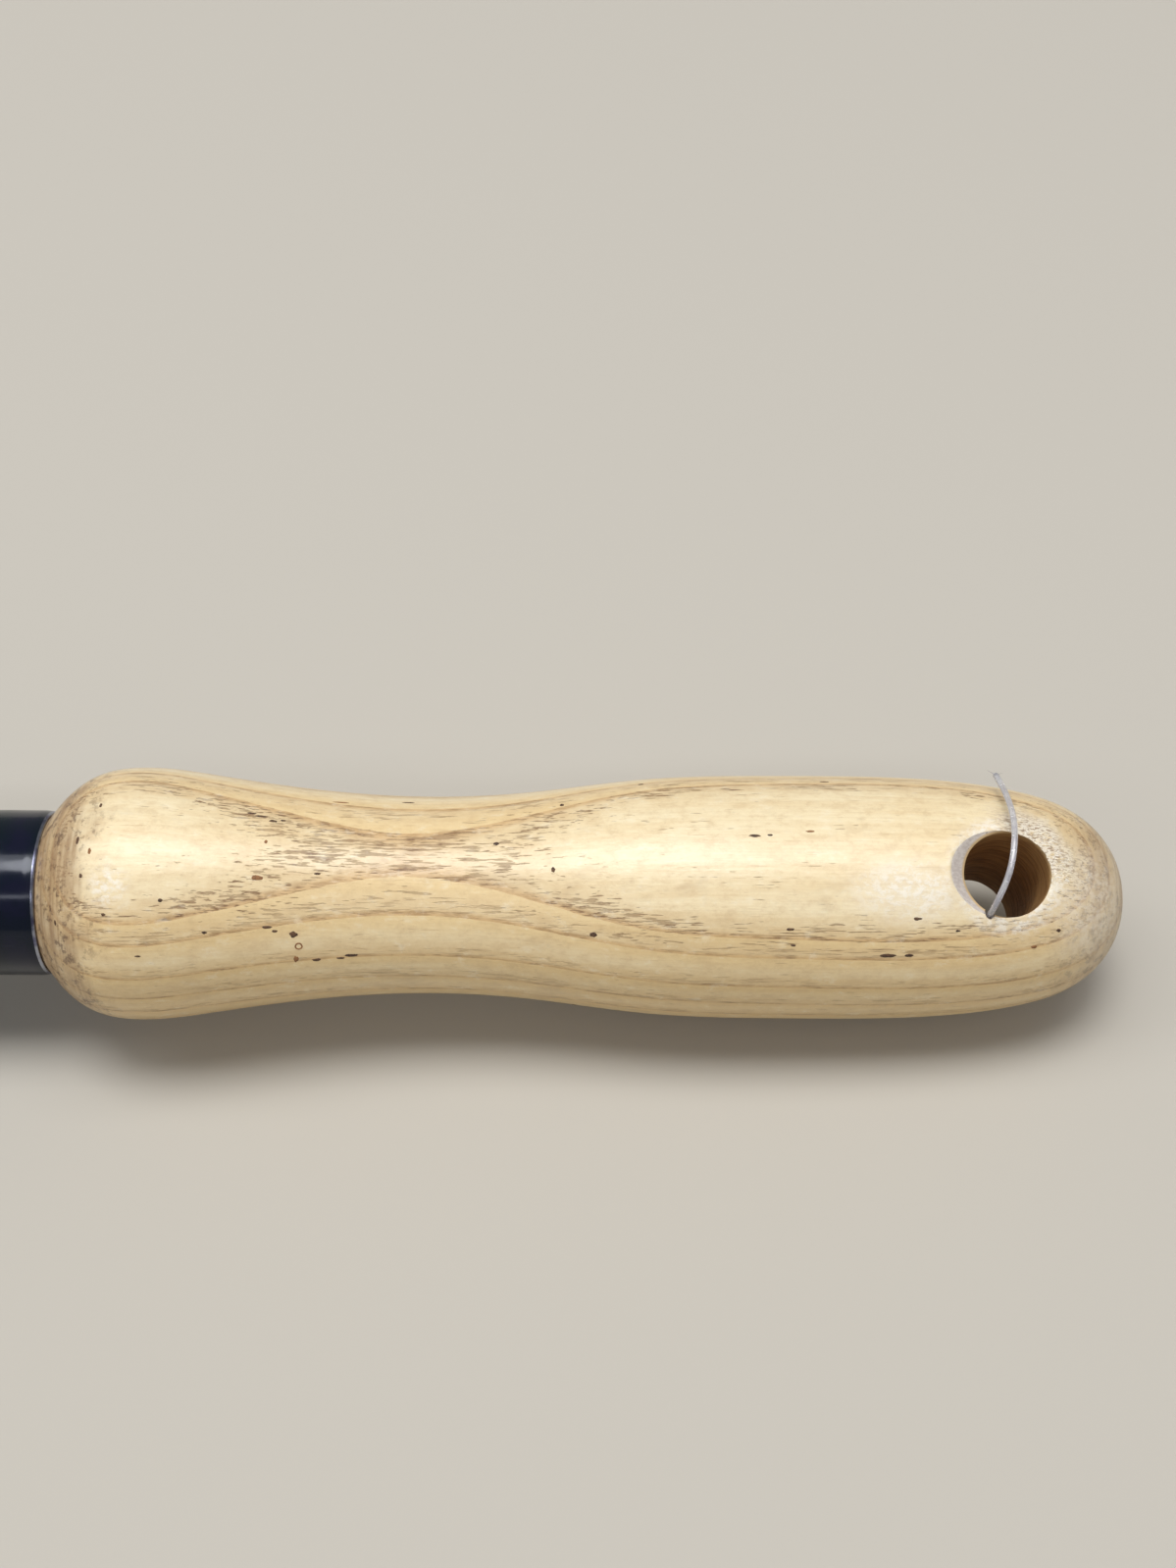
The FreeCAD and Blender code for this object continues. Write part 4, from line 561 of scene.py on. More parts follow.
def clear_nylon():
    s = Shader("clear_nylon")
    cloudy = s.noise(0.9, 3, 0.6)
    nick = s.noise(2.5, 2, 0.6, offset=(3, 3, 0)).fade(0.62, 0.7)
    colour = s.mix(cloudy.fade(0.35, 0.65), srgb(236, 238, 244), srgb(214, 214, 224))
    return s.finish(colour, 0.12 + nick * 0.3, s.bump(cloudy + nick, 0.3, 0.05),
                    transmission_weight=0.62, ior=1.53, coat_weight=0.3, coat_roughness=0.08)


def dirt_speck(name, dark, pale):
    s = Shader(name)
    grain = s.noise(3.0, 3, 0.7)
    return s.finish(s.mix(grain.fade(0.35, 0.65), dark, pale), grain.fade(0.3, 0.7, 0.6, 0.8),
                    s.bump(grain, 0.5, 0.06))


def torn_fibre():
    s = Shader("torn_fibre")
    tone = s.noise(1.5)
    colour = s.mix(tone.fade(0.35, 0.65), srgb(252, 246, 234), srgb(228, 208, 170))
    return s.finish(colour, tone.fade(0.3, 0.7, 0.5, 0.7), s.bump(tone, 0.2, 0.05))


MATERIALS = {
    "enamel": enamel(),
    "bumper_rubber": rubber("bumper_skin"),
    "chrome_trim": plated(),
    "zinc_sheet": sheet_zinc(),
    "bright_steel": steel("bright_steel", (0.64, 0.64, 0.65, 1), (0.44, 0.43, 0.42, 1), 0.24),
    "spring_steel": steel("spring_steel", (0.34, 0.34, 0.36, 1), (0.20, 0.17, 0.15, 1), 0.26,
                          (0.4, 0.4, 2.0)),
    "bearing_bronze": bronze(),
    "core_wood": turned_wood("beech_core", srgb(206, 168, 124), srgb(178, 134, 90), 0.5, 0.0),
    "drum_wood": turned_wood("drum_maple", srgb(186, 138, 86), srgb(150, 102, 58), 0.36, 0.35),
    "bristle": bristle_hair(),
    "pan_paint": japan(),
    "button_plastic": ivory(),
    "blued_tube": blued(),
    "grip_wood": ash_wood(),
    "wheel_steel": painted_wheel(),
    "tyre_rubber": rubber("tyre_skin", tread=True),
    "nylon": clear_nylon(),
}

SLOT_OF = {row["node"]: row["material_slot"] for row in RECORD["subparts"]}
for node_name, node_object in frame["nodes"].items():
    for node_slot in node_object.material_slots:
        node_slot.material = MATERIALS[SLOT_OF[node_name]]

# ---- mesh helpers


def mesh_piece(name, points, faces, body, slot, replaces=(), place=None, which=None, sharp=40, skins=()):
    """A mesh from millimetre points in its own frame, riding on a body unless that is None."""
    mesh = bpy.data.meshes.new(name)
    points = [Vector(p) * MM for p in points]
    if place is GRIP_FRAME:
        points, place = [place @ p for p in points], None
    mesh.from_pydata([tuple(p) for p in points], [], faces)
    for material in skins or [MATERIALS[slot]]:
        mesh.materials.append(material)
    if which is not None:
        mesh.polygons.foreach_set("material_index", which)
    work = bmesh.new()
    work.from_mesh(mesh)
    bmesh.ops.recalc_face_normals(work, faces=work.faces)
    work.to_mesh(mesh)
    work.free()
    mesh.shade_smooth()
    mesh.set_sharp_from_angle(angle=math.radians(sharp))
    piece = add_object(name, mesh)
    if place is not None:
        piece.matrix_world = place
    bpy.context.view_layer.update()
    if body:
        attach(piece, body)
    if replaces:
        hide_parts(*replaces)
    return piece


def shares(steps):
    return [step / steps for step in range(steps + 1)]


def turns(sides):
    return [TAU * j / sides for j in range(sides)]


def ring_faces(rings, count):
    """The faces between rings of points, each ring given by the number of its first point."""
    return [(a + j, a + (j + 1) % count, b + (j + 1) % count, b + j)
            for a, b in zip(rings, rings[1:]) for j in range(count)]


def capped_faces(rings, count):
    return ring_faces(rings, count) + [tuple(range(end, end + count)) for end in (rings[0], rings[-1])]


def turned_points(profile, count):
    """Rings about the local X axis. A profile point on the axis still gets its ring, a tiny one."""
    return [(x, max(r, 0.001) * math.cos(TAU * j / count), max(r, 0.001) * math.sin(TAU * j / count))
            for x, r in profile for j in range(count)]


def bent(start, corner, end, segments):
    """Points on a smooth bend from start to end that would meet at the corner."""
    return [start * (1 - t) ** 2 + corner * 2 * t * (1 - t) + end * t * t for t in shares(segments)]


def eased(corners):
    """Corners (x, r, fillet) joined by straight runs, each corner rounded by its own fillet."""
    points = []
    for i, (x, r, fillet) in enumerate(corners):
        if fillet <= 0:
            points.append((x, r))
            continue
        here = Vector((x, r))
        to_before = Vector(corners[i - 1][:2]) - here
        to_after = Vector(corners[(i + 1) % len(corners)][:2]) - here
        cut = min(fillet, to_before.length * 0.49, to_after.length * 0.49)
        points += [tuple(p) for p in bent(here + to_before.normalized() * cut, here,
                                          here + to_after.normalized() * cut, 4)]
    return points


def closed_lathe(name, corners, count, body, slot, replaces, place, which=None, skins=()):
    profile = eased(corners)
    faces = ring_faces([i * count for i in range(len(profile))] + [0], count)
    indices = which and [which(profile[i // count], profile[(i // count + 1) % len(profile)])
                         for i in range(len(faces))]
    mesh_piece(name, turned_points(profile, count), faces, body, slot, replaces, place, indices, skins=skins)


# ---- the filament in the hang hole

FILAMENT_ROUTE = (
    (-0.0022, -0.0045, -0.0040), (-0.0021, -0.00455, 0.0096), (-0.00215, -0.0044, 0.0143),
    (-0.0002, -0.0003, 0.0153), (0.0006, 0.0047, 0.0149), (0.0004, 0.0092, 0.0121), (0.0001, 0.0123, 0.0084),
)


def hole_point(along, across, out):
    return HOLE + ALONG * along + ACROSS * across + OUT * out


def tag_filament():
    curve = bpy.data.curves.new("tag_line", "CURVE")
    curve.dimensions = "3D"
    spline = curve.splines.new("NURBS")
    spline.points.add(len(FILAMENT_ROUTE) - 1)
    for point, offset in zip(spline.points, FILAMENT_ROUTE):
        point.co = (*hole_point(*offset), 1)
    spline.order_u = 3
    spline.use_endpoint_u = True
    spline.resolution_u = 16
    curve.bevel_depth = 0.00035
    curve.bevel_resolution = 5
    curve.use_fill_caps = True
    curve.materials.append(MATERIALS["nylon"])
    line = add_object("tag_line", curve)
    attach(line, "handle")
    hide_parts("tag_filament")

    # its cut end has split into three curling hairs
    end = Vector(FILAMENT_ROUTE[-1]) / MM + Vector((HOLE_STATION, 0, 0))
    last = (Vector(FILAMENT_ROUTE[-1]) - Vector(FILAMENT_ROUTE[-2])).normalized()
    steps, sides = 6, 6
    points, faces = [], []
    hairs = ((-0.85, 0.55, 1.7, 0.15), (0.95, -0.1, 1.35, 0.16), (0.1, 0.2, 0.8, 0.2))
    for side, lift, reach, radius in hairs:
        first = len(points)
        for t in shares(steps):
            centre = end - last * 0.25 + last * (reach * t * (1 - 0.25 * t))
            centre += Vector((side, 0, lift)) * (t ** 1.7)
            thin = radius * (1 - 0.82 * t)
            for a in turns(sides):
                points.append(tuple(centre + Vector((math.cos(a), 0, math.sin(a))) * thin))
        faces += capped_faces([first + sides * i for i in range(steps + 1)], sides)
    frayed = mesh_piece("tag_line_split_end", points, faces, "handle", "nylon", place=GRIP_FRAME)
    tuple(hole_point(*FILAMENT_ROUTE[0]))


tag_filament()

# ---- the grip

GRIP_PROFILE = (
    (0, 9.0), (2.0, 11.35), (5.2, 13.6), (10, 14.5), (18.5, 13.68), (30.5, 12.05), (43.5, 11.33),
    (54.5, 11.88), (67.5, 13.43), (84, 13.98), (99.5, 13.73), (110.5, 12.42), (117.5, 9.88),
    (121.3, 6.0), (122.55, 2.7), (122.8, 0),
)


def natural_spline(knots, values, places):
    """A cubic through the values with no curvature at its ends."""
    n = len(knots)
    h = np.diff(knots)
    matrix, rhs = np.eye(n), np.zeros(n)
    for i in range(1, n - 1):
        matrix[i, i - 1], matrix[i, i], matrix[i, i + 1] = h[i - 1], 2 * (h[i - 1] + h[i]), h[i]
        rhs[i] = 6 * ((values[i + 1] - values[i]) / h[i] - (values[i] - values[i - 1]) / h[i - 1])
    bend = np.linalg.solve(matrix, rhs)
    i = np.clip(np.searchsorted(knots, places) - 1, 0, n - 2)
    left, right_ = places - knots[i], knots[i + 1] - places
    return (bend[i] * right_ ** 3 / (6 * h[i]) + bend[i + 1] * left ** 3 / (6 * h[i])
            + (values[i] / h[i] - bend[i] * h[i] / 6) * right_
            + (values[i + 1] / h[i] - bend[i + 1] * h[i] / 6) * left)


outline = np.array(GRIP_PROFILE, float)
chord = np.concatenate([[0], np.cumsum(np.hypot(*np.diff(outline, axis=0).T))])
fine = np.linspace(0, chord[-1], 4000)
MERIDIAN_X = natural_spline(chord, outline[:, 0], fine)
MERIDIAN_R = np.maximum(natural_spline(chord, outline[:, 1], fine), 0)


def grip_radius(station):
    return float(np.interp(station, MERIDIAN_X, MERIDIAN_R))


def grip_height(x, y):
    """How far the grip's surface stands from its middle plane at (x, y), measured along the hole."""
    return math.sqrt(max(grip_radius(x) ** 2 - y * y, 0.01))


def roughness_at(x, y, z, scale):
    return noise.noise(Vector((x, y, z)) * scale)


GROOVE_TURN, GROOVE_REACH, GROOVE_RADIUS, GROOVE_FOOT = math.radians(-115.4), 5.01, 0.5, -5.0


def bore_radius(angle, z):
    """The bore's radius, with the groove that the filament has chafed in its wall."""
    turn = math.remainder(angle - GROOVE_TURN, TAU)
    if z < GROOVE_FOOT or GROOVE_REACH * abs(math.sin(turn)) >= GROOVE_RADIUS or math.cos(turn) < 0:
        return BORE
    half = math.sqrt(GROOVE_RADIUS ** 2 - (GROOVE_REACH * math.sin(turn)) ** 2)
    return max(BORE, GROOVE_REACH * math.cos(turn) + half)


def mouth_radius(angle, side):
    radius = BORE
    for _ in range(14):
        x, y = HOLE_STATION + radius * math.cos(angle), radius * math.sin(angle)
        radius = max(bore_radius(angle, side * SINK_START), BORE + grip_height(x, y) - SINK_START)
    torn = 1.0 if side > 0 and -0.3 < angle < 1.8 else 0.35
    ragged = roughness_at(math.cos(angle), math.sin(angle), side, 4.5) * 0.10
    ragged += roughness_at(math.cos(angle), math.sin(angle), side + 5, 14.0) * 0.09 * torn
    return radius + 0.05 + abs(ragged) * torn


def grip():
    around, along, half_patch, layers = 192, 230, 22, 16
    steps = np.linspace(0, fine[-1], along + 1)
    xs, rs = np.interp(steps, fine, MERIDIAN_X), np.interp(steps, fine, MERIDIAN_R)
    points = turned_points(list(zip(xs, rs)), around)

    # the turned surface, less a patch on each side that the hole's mouth is in
    low, high = (int(np.searchsorted(xs, station)) for station in (97.6, 116.3))
    middles = {1: around // 4, -1: 3 * around // 4}
    faces = []
    for index, face in enumerate(ring_faces([i * around for i in range(along + 1)], around)):
        i, j = divmod(index, around)
        if not (low <= i < high and any(-half_patch <= j - m < half_patch for m in middles.values())):
            faces.append(face)
    mouths = {}
    for side, middle in middles.items():
        columns = range(middle - half_patch, middle + half_patch + 1)
        border = [(low, j) for j in columns] + [(high, j) for j in columns]
        border += [(i, j) for i in range(low + 1, high) for j in (columns[0], columns[-1])]
        loop = []
        for index in (i * around + j for i, j in border):
            x, y, _ = points[index]
            loop.append((math.atan2(y, x - HOLE_STATION), index, x, y))
        loop.sort()
        count, rings = len(loop), []
        for layer in range(layers):
            t = (layer / layers) ** 1.25
            rings.append(len(points))
            for angle, _, bx, by in loop:
                r = mouth_radius(angle, side)
                mx, my = HOLE_STATION + r * math.cos(angle), r * math.sin(angle)
                x, y = mx + (bx - mx) * t, my + (by - my) * t
                z = grip_height(x, y)
                reach = math.hypot(x - HOLE_STATION, y)
                if side > 0 and -0.25 < angle < 1.7 and reach < 9.5:
                    edge = min(1, (angle + 0.25) / 0.4, (1.7 - angle) / 0.4) * min(1, (9.5 - reach) / 2.5)
                    z += edge * (0.10 * roughness_at(x, y, 0, 1.5) + 0.09 * roughness_at(x, y * 2, 3, 3.2))
                elif layer < 2:
                    z -= 0.05 * (2 - layer)
                points.append((x, y, side * z))
        faces += ring_faces(rings, count)
        for m in range(count):
            n, last = (m + 1) % count, rings[-1]
            faces.append((last + m, last + n, loop[n][1], loop[m][1]))
        mouths[side] = (rings[0], loop)
    which = [0] * len(faces)

    # the countersink on each side, then the bore between them
    def at_hole(angle, r, z):
        return (HOLE_STATION + r * math.cos(angle), r * math.sin(angle), z)
    wall_ends = {}
    for side, (start, loop) in mouths.items():
        rings = [start]
        for layer in range(1, 5):
            t = layer / 4
            rings.append(len(points))
            for m, (angle, *_) in enumerate(loop):
                mx, my, mz = points[start + m]
                r0, z0 = math.hypot(mx - HOLE_STATION, my), abs(mz)
                z1 = min(SINK_START, z0 - 0.35)
                r = r0 + (bore_radius(angle, side * z1) - r0) * t
                r += 0.03 * roughness_at(math.cos(angle) * 3, math.sin(angle) * 3, layer, 1.0)
                points.append(at_hole(angle, r, side * (z0 + (z1 - z0) * t)))
        faces += ring_faces(rings, count)
        wall_ends[side] = rings[-1]
    top, bottom = wall_ends[1], wall_ends[-1]
    rings = [top]
    for layer in range(1, 28):
        t = layer / 28
        rings.append(len(points))
        for m, (angle, *_) in enumerate(mouths[1][1]):
            z = points[top + m][2] * (1 - t) + points[bottom + m][2] * t
            r = bore_radius(angle, z)
            r += 0.05 * roughness_at(math.cos(angle) * 2.2, math.sin(angle) * 2.2, z * 0.5, 1.0)
            points.append(at_hole(angle, r, z))
    faces += ring_faces(rings + [bottom], count)
    which += [1] * (len(faces) - len(which))

    # the tenon inside the tube
    tenon = len(points)
    points += turned_points(((0, 8.595), (-0.2, 8.595), (-44.0, 8.595), (-45.0, 7.6), (-45.0, 0.001)), around)
    faces += ring_faces([0, tenon] + [tenon + around * i for i in range(1, 5)], around)
    which += [0] * (len(faces) - len(which))
    mesh_piece("turned_grip", points, faces, "handle", "grip_wood", ["grip"], GRIP_FRAME, which, 35,
               [MATERIALS["grip_wood"], bore_wood()])


grip()

DARK, RUST = 0, 1
# where a speck sits: station from the rim, turn about the grip, length, width, kind
SPECKS = (
    (29.2, 124, 1.25, 1.05, DARK), (29.3, 138.6, 0.75, 1.3, RUST), (58.5, 47.4, 0.75, 0.7, DARK),
    (57.7, 89.3, 0.7, 0.85, DARK), (62.1, 122, 1.2, 0.75, DARK), (25.4, 94.6, 1.7, 0.8, RUST),
    (15.1, 105.7, 0.8, 0.55, DARK), (19.7, 121, 0.8, 0.45, DARK), (31.8, 91.8, 0.9, 0.4, DARK),
    (51.3, 73.3, 0.95, 0.55, DARK), (31.5, 140, 1.5, 0.6, DARK), (35.4, 138, 2.2, 0.5, DARK),
    (34.2, 139.5, 1.3, 0.4, DARK), (26.4, 119.6, 1.5, 0.5, DARK), (27.2, 121.8, 1.0, 0.4, DARK),
    (24.1, 58.6, 1.6, 0.35, DARK), (25.2, 60.0, 1.9, 0.45, DARK), (26.5, 62.6, 1.4, 0.5, DARK),
    (27.6, 61.5, 0.8, 0.35, DARK), (26.0, 75.5, 0.5, 0.6, RUST), (79.8, 74.1, 1.7, 0.5, DARK),
    (81.4, 73.7, 0.9, 0.4, DARK), (85.8, 71.7, 1.4, 0.4, RUST), (83.5, 117.3, 1.3, 0.45, DARK),
    (83.9, 124.7, 0.8, 0.4, DARK), (97.3, 112.2, 1.3, 0.45, DARK), (94.3, 129.7, 2.3, 0.7, DARK),
    (96.6, 129.7, 1.2, 0.6, DARK), (67.4, 32, 0.9, 0.5, DARK), (7.6, 60, 0.5, 0.8, DARK),
    (5.6, 78, 0.55, 1.3, DARK), (7.2, 84, 0.6, 1.0, RUST), (6.4, 95, 0.5, 0.7, DARK),
    (9.0, 112, 0.6, 0.5, DARK), (3.2, 118, 0.4, 0.9, DARK), (12.5, 131, 0.9, 0.35, DARK),
    (33.5, 41, 2.6, 0.35, RUST), (41.0, 36, 2.0, 0.35, DARK), (101.8, 118, 0.7, 0.4, DARK),
    (113.2, 120, 0.7, 0.6, DARK), (110.5, 128, 1.0, 0.6, RUST), (88.2, 34, 1.4, 0.4, DARK),
    (73.0, 250, 1.6, 0.5, DARK), (45.0, 215, 1.2, 0.6, RUST), (90.0, 300, 1.4, 0.5, DARK),
    (20.0, 280, 1.1, 0.6, DARK), (60.0, 190, 1.0, 0.5, DARK), (104.0, 205, 1.2, 0.5, RUST),
)
LONG_SHARE, SHORT_SHARE = 0.40, 0.38   # a speck's half sizes over the length and width above


def on_grip(station, turn, along, aside, lift):
    """A point over the turned surface, so far along and aside from a station and a turn."""
    radius = grip_radius(station + along)
    theta = math.radians(turn) + aside / radius
    return (station + along, (radius + lift) * math.cos(theta), (radius + lift) * math.sin(theta))


def grip_specks():
    """Stains with a slight body, each lying on the turned surface."""
    random.seed(41)
    points, faces, which = [], [], []
    sides = 16
    for station, turn, long_side, short_side, kind in SPECKS:
        jag = random.uniform(0, 40)
        rings = [len(points) + sides * i for i in range(3)]
        for reach, lift in ((1.0, -0.03), (0.8, 0.022), (0.4, 0.045)):
            for a in turns(sides):
                wobble = reach * (1 + 0.42 * noise.noise(Vector((math.cos(a) * 1.3, math.sin(a) * 1.3, jag))))
                points.append(on_grip(station, turn, long_side * LONG_SHARE * wobble * math.cos(a),
                                      short_side * SHORT_SHARE * wobble * math.sin(a), lift))
        faces += capped_faces(rings, sides)
        which += [kind] * (2 * sides + 2)
    # one stain dried as a ring
    station, turn, first, sides = 29.7, 130.8, len(points), 28
    for reach, lift in ((0.46, -0.02), (0.41, 0.03), (0.30, 0.03), (0.25, -0.02)):
        for a in turns(sides):
            points.append(on_grip(station, turn, reach * math.cos(a) * (1 + 0.06 * math.sin(3 * a)),
                                  reach * math.sin(a), lift))
    faces += ring_faces([first + sides * i for i in range(4)] + [first], sides)
    which += [RUST] * (4 * sides)
    mesh_piece("grip_specks", points, faces, "handle", "grip_wood", place=GRIP_FRAME, which=which,
               skins=[dirt_speck("dirt_dark", srgb(58, 40, 30), srgb(104, 76, 54)),
                      dirt_speck("dirt_rust", srgb(126, 84, 50), srgb(158, 114, 74))])


grip_specks()


def torn_fibres():
    """Short splinters lifted round the far side of the hang hole."""
    random.seed(7)
    points, faces = [], []
    steps, sides = 5, 4
    for _ in range(95):
        angle = random.uniform(-0.15, 1.6)
        reach = mouth_radius(angle, 1) + 0.25 + abs(random.gauss(0, 0.85))
        x, y = HOLE_STATION + reach * math.cos(angle), reach * math.sin(angle)
        length, width = random.uniform(0.5, 1.7), random.uniform(0.05, 0.12)
        lean = random.uniform(-0.5, 0.25) + (0.35 if random.random() < 0.3 else 0)
        lift = random.uniform(0.02, 0.20)
        first = len(points)
        for t in shares(steps):
            px = x + length * (t - 0.15)
            py = y + length * lean * (t - 0.15) + 0.12 * math.sin(3 * t + angle * 5)
            pz = grip_height(px, py) - 0.03 + lift * t ** 1.5
            thin = width * (1 - 0.85 * t) * min(1, 0.4 + 3 * t)
            for a in turns(sides):
                points.append((px, py + thin * math.cos(a), pz + thin * 0.6 * math.sin(a)))
        faces += capped_faces([first + sides * i for i in range(steps + 1)], sides)
    mesh_piece("torn_fibres", points, faces, "handle", "grip_wood", place=GRIP_FRAME, skins=[torn_fibre()])


torn_fibres()

# ---- the tube under the grip


def upper_tube():
    """The top tube, with its open end rolled in a little so that the edge doesn't cut the hand."""
    start, end = -246.0, 0.0
    outer, inner = 9.525, 8.625
    corners = (
        (start, inner, 0.0), (start, outer - 0.25, 0.0), (start + 0.25, outer, 0.0), (-120.0, outer, 0.0),
        (-30.0, outer, 0.0), (-3.0, outer, 0.0), (-1.05, outer, 0.35), (-0.22, 9.39, 0.12), (end, 9.28, 0.08),
        (end, 8.86, 0.10), (-0.12, inner + 0.02, 0.05), (-1.0, inner, 0.0), (-60.0, inner, 0.0),
    )

    def band(a, b):
        return 1 if min(a[0], b[0]) > -0.42 and max(a[1], b[1]) < 9.5 else 0
    closed_lathe("upper_tube_rolled", corners, 144, "handle", "blued_tube", ["upper_tube"], GRIP_FRAME, band,
                 [MATERIALS["blued_tube"], bare_edge()])


upper_tube()

# ---- tyres


def tyre(node, body):
    low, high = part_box(node)
    half, outer = (high.y - low.y) / 2 / MM, (high.x - low.x) / 2 / MM
    inner, shoulder, groove_depth = 21.05, outer - 2.4, 0.42
    ribs = []
    for i in range(-4, 5):
        at = i * half * 0.178
        rib_top = outer - 0.35 * (at / half) ** 2 * outer / 9
        ribs += [(at + half * aside, rib_top - down, fillet) for aside, down, fillet in (
            (-0.062, 0, 0.12), (0.062, 0, 0.12), (0.075, groove_depth, 0.05), (0.104, groove_depth, 0.05))]
    corners = [(-half, inner, 0.3), (-half, shoulder, 1.3), *ribs[:-2],
               (half, shoulder, 1.3), (half, inner, 0.3)]
    place = frame_of((low + high) / 2, (0, 1, 0), (0, 0, 1), (1, 0, 0))
    closed_lathe(node + "_ribbed", corners, 96, body, "tyre_rubber", [node], place)


for corner_name in ("front_left", "rear_left", "front_right", "rear_right"):
    tyre("tyre_" + corner_name, "wheel_" + corner_name)

# ---- the brush


def brush_hair():
    """Tufts of tapering hair in four rows that wind along the core."""
    random.seed(19)
    core, tip, half = 14.6, 39.8, 110.6
    rows, tufts, hairs, sides = 4, 84, 17, 3
    points, faces = [], []
    for row in range(rows):
        for tuft in range(tufts):
            y0 = -half + 2 * half * (tuft + 0.5) / tufts
            base = math.radians(90 * row - 120 * (y0 + 112) / 224)
            for _ in range(hairs):
                y = y0 + random.uniform(-1.1, 1.1)
                theta = base + random.uniform(-1.5, 1.5) / 15
                lean_side, lean_turn = random.gauss(0, 0.75), random.gauss(0, 0.035)
                lean_side = max(-1.4, min(1.4, lean_side))
                curl = random.gauss(0, 0.02)
                reach = tip - abs(random.gauss(0, 0.9)) - 0.1
                thick = random.uniform(0.16, 0.24)
                spin = random.uniform(0, TAU)
                first = len(points)
                for t in (0.0, 0.35, 0.7, 1.0):
                    r = core + (reach - core) * t
                    a = theta + lean_turn * t + curl * math.sin(t * 3)
                    out = Vector((math.cos(a), 0, math.sin(a)))
                    side = Vector((-math.sin(a), 0, math.cos(a)))
                    centre = out * r + Vector((0, y + lean_side * t * t, 0))
                    width = thick * (1 - 0.55 * t)
                    for b in turns(sides):
                        points.append(tuple(centre + side * (width * math.cos(spin + b))
                                            + Vector((0, width * math.sin(spin + b), 0))))
                faces += ring_faces([first + sides * i for i in range(4)], sides)
                faces.append((first + 9, first + 10, first + 11))   # only the tip needs closing
    mesh_piece("brush_hair", points, faces, "brush", "bristle", ["bristle_rows"],
               Matrix.Translation(BRUSH_AXIS), sharp=80)


brush_hair()

# ---- springs


def filleted(path, cut):
    """The same path with each of its corners rounded."""
    rounded = [path[0]]
    for before, here, after in zip(path, path[1:], path[2:]):
        start, end = (here + (other - here).normalized() * min(cut, (other - here).length * 0.45)
                      for other in (before, after))
        rounded += bent(start, here, end, 5)
    return rounded + [path[-1]]


def wire_tube(path, radius, sides=10):
    """Round wire along a path, with slightly domed cut ends."""
    points, rings = [], []
    across, last = None, len(path) - 1
    for i, here in enumerate(path):
        tangent = (path[min(i + 1, last)] - path[max(i - 1, 0)]).normalized()
        across = tangent.orthogonal() if across is None else across
        across = (across - tangent * across.dot(tangent)).normalized()
        other = tangent.cross(across)
        steps = {0: ((0.7, 0.0), (1.0, 0.15)), last: ((1.0, -0.15), (0.7, 0.0))}.get(i, ((1.0, 0.0),))
        for share, back in steps:
            rings.append(len(points))
            centre = here + tangent * back * radius
            for a in turns(sides):
                points.append(centre + (across * math.cos(a) + other * math.sin(a)) * radius * share)
    return points, capped_faces(rings, sides)


def return_spring_coils():
    """The two springs under the dump button, with closed end turns."""
    low, high = (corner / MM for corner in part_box("return_springs"))
    mean, wire, turns, travel, steps = 4.4, 0.55, 7, 8.0, 28
    heights = (low.z + wire, low.z + 3.1 * wire, high.z - 3.1 * wire, high.z - wire)
    points, faces = [], []
    for side in (-1, 1):
        path = []
        for turn in (step / steps for step in range(turns * steps + 1)):
            z = float(np.interp(turn, (0, 1, turns - 1, turns), heights))
            a = TAU * turn + (0 if side > 0 else math.pi)
            path.append(Vector(((low.x + high.x) / 2 + mean * math.cos(a),
                                side * (high.y - mean - wire) + mean * math.sin(a), z)))
        tube_points, tube_faces = wire_tube(path, wire)
        faces += [tuple(i + len(points) for i in face) for face in tube_faces]
        points += tube_points
    coils = mesh_piece("return_spring_coils", points, faces, "case", SLOT_OF["return_springs"],
                       ["return_springs"], sharp=60, skins=[MATERIALS["spring_steel"]])
    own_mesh(coils)


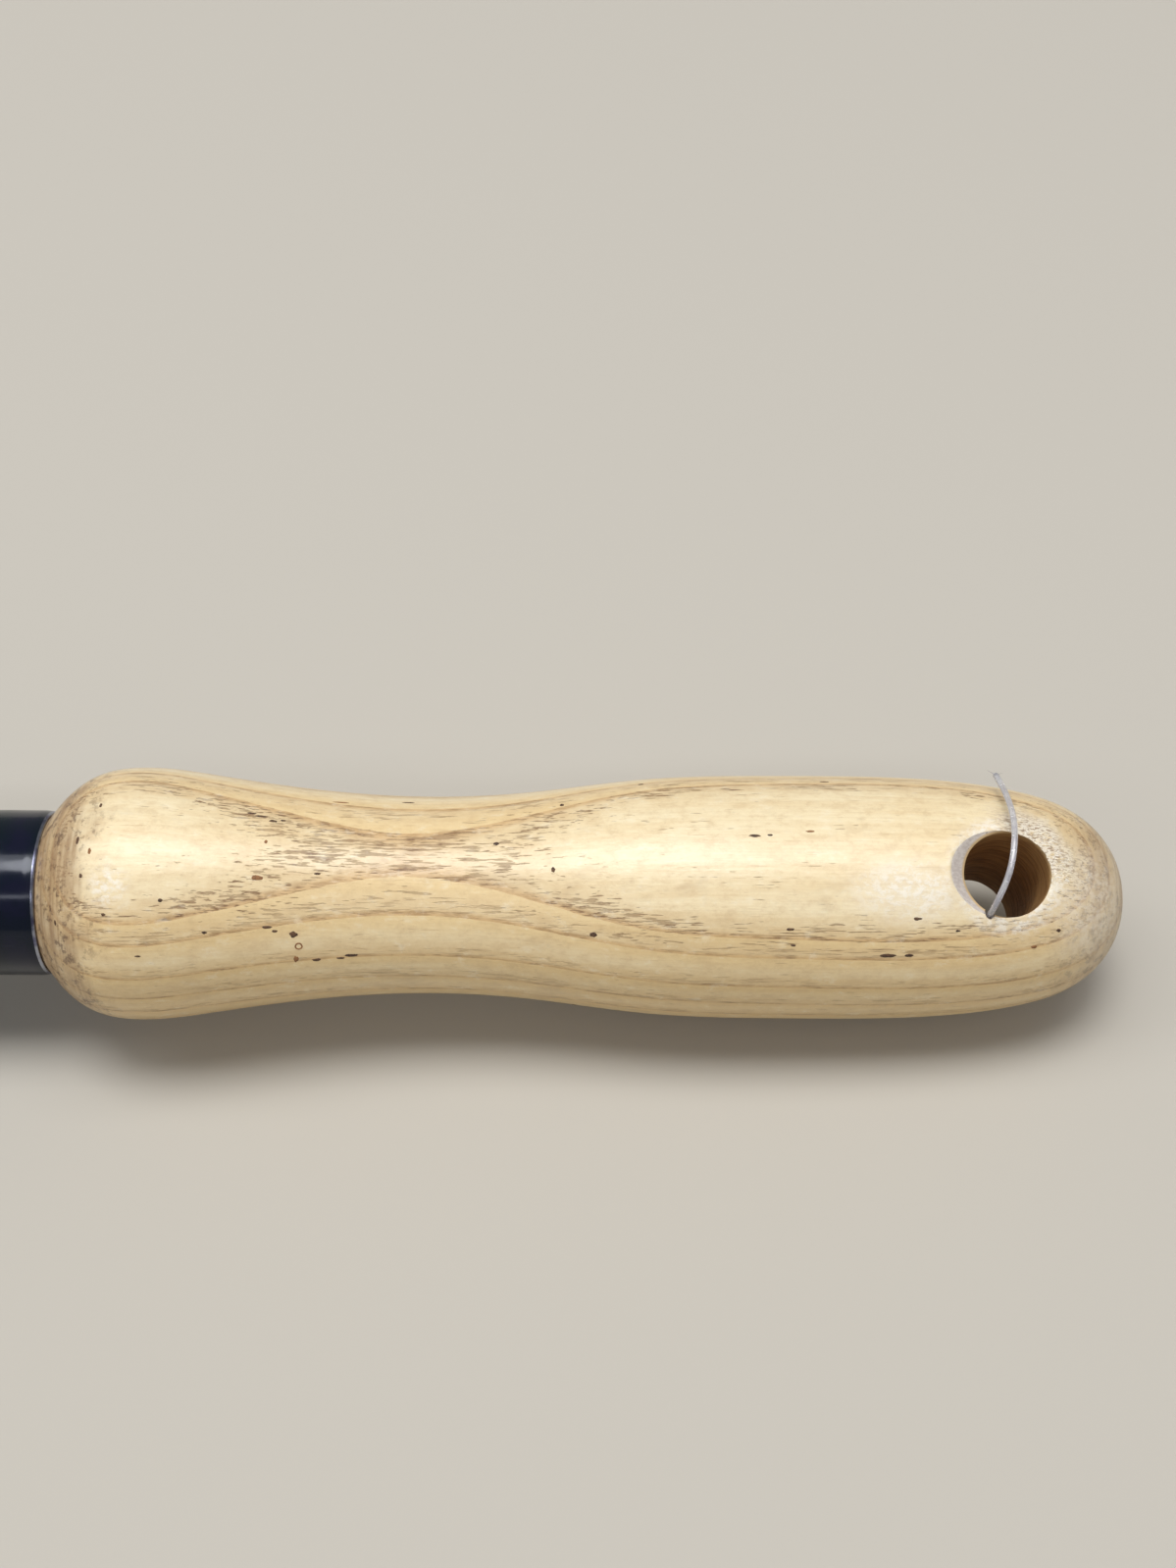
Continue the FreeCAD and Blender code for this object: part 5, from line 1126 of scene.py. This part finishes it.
def pan_spring_wire(word, end):
    """A torsion spring on a pan's rod, with one leg out towards the pan and the other hooked in the frame."""
    node, axis = "pan_spring_" + word, joint_place(f"pan_{word}_drop") / MM
    mean, wire, turns, start, stop = 3.4, 0.5, 5.75, 131.0, 139.5
    leg_end, leg_rise, hook_rise, steps = 13.0, 1.9, 12.0, 173

    def at(x, y, z):
        return Vector((axis.x + end * x, end * y, axis.z + z))
    coil = []
    for k in range(steps + 1):
        a = TAU * (0.25 - turns * k / steps)
        coil.append(at(mean * math.cos(a), start + (stop - start) * k / steps, mean * math.sin(a)))
    pin_leg = filleted([at(-leg_end, start - 2.2, leg_rise), at(-6.0, start - 2.2, leg_rise),
                        at(-2.2, start - 0.3, mean), coil[0]], 1.5)
    frame_leg = filleted([coil[-1], at(-mean, stop, hook_rise), at(-mean, stop + 2.6, hook_rise)], 1.2)
    points, faces = wire_tube(pin_leg[:-1] + coil + frame_leg[1:], wire)
    spring = mesh_piece(node + "_wire", points, faces, None, SLOT_OF[node], [node], sharp=60,
                        skins=[MATERIALS["spring_steel"]])
    tuple(at(0, start, 0) * MM)
    tuple(at(0, stop, 0) * MM)
    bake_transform(spring)


return_spring_coils()
pan_spring_wire("front", -1)
pan_spring_wire("rear", 1)

# ---- floor and light

FLOOR_HALF, FLOOR_GAP = 30.0, 0.0004   # m; the gap keeps the floor's plane off the part's lowest faces


def floor():
    mesh = bpy.data.meshes.new("floor")
    corners = [(x * FLOOR_HALF, y * FLOOR_HALF, CAD_BOX[0].z - FLOOR_GAP)
               for x, y in ((-1, -1), (1, -1), (1, 1), (-1, 1))]
    mesh.from_pydata(corners, [], [(0, 1, 2, 3)])
    mesh.materials.append(Shader("floor_plain").finish(srgb(190, 186, 178), 0.85, None))
    add_object("floor", mesh)


floor()


def lamp(name, kind, direction, place=(0, 0, 0), **settings):
    data = bpy.data.lights.new(name, kind)
    for key, value in settings.items():
        setattr(data, key, value)
    light = add_object(name, data)
    light.location = place
    light.rotation_mode = "QUATERNION"
    light.rotation_quaternion = Vector(direction).to_track_quat("-Z", "Y")


def softbox(name, place, aim, width, height, power, colour):
    lamp(name, "AREA", Vector(aim) - Vector(place), place, shape="RECTANGLE", size=width, size_y=height,
         energy=power, color=colour)


softbox("key_softbox", (0.15, 0.10, 1.50), (0.15, 0.06, 0.0), 2.3, 0.62, 14.5, (1.0, 0.99, 0.97))
softbox("strip_light", (0.10, -1.02, 1.12), (0.10, 0.0, 0.02), 2.2, 0.12, 3.6, (0.98, 0.99, 1.0))
lamp("room_light", "SUN", (0.06, 0.0, -1.0), energy=1.25, angle=math.radians(24), color=(1.0, 0.985, 0.96))

world = bpy.data.worlds.new("studio")
world.use_nodes = True
background = world.node_tree.nodes["Background"]
background.inputs["Color"].default_value = (1.0, 0.99, 0.975, 1)
background.inputs["Strength"].default_value = 0.24
bpy.context.scene.world = world
bpy.context.scene.view_settings.view_transform = "Standard"
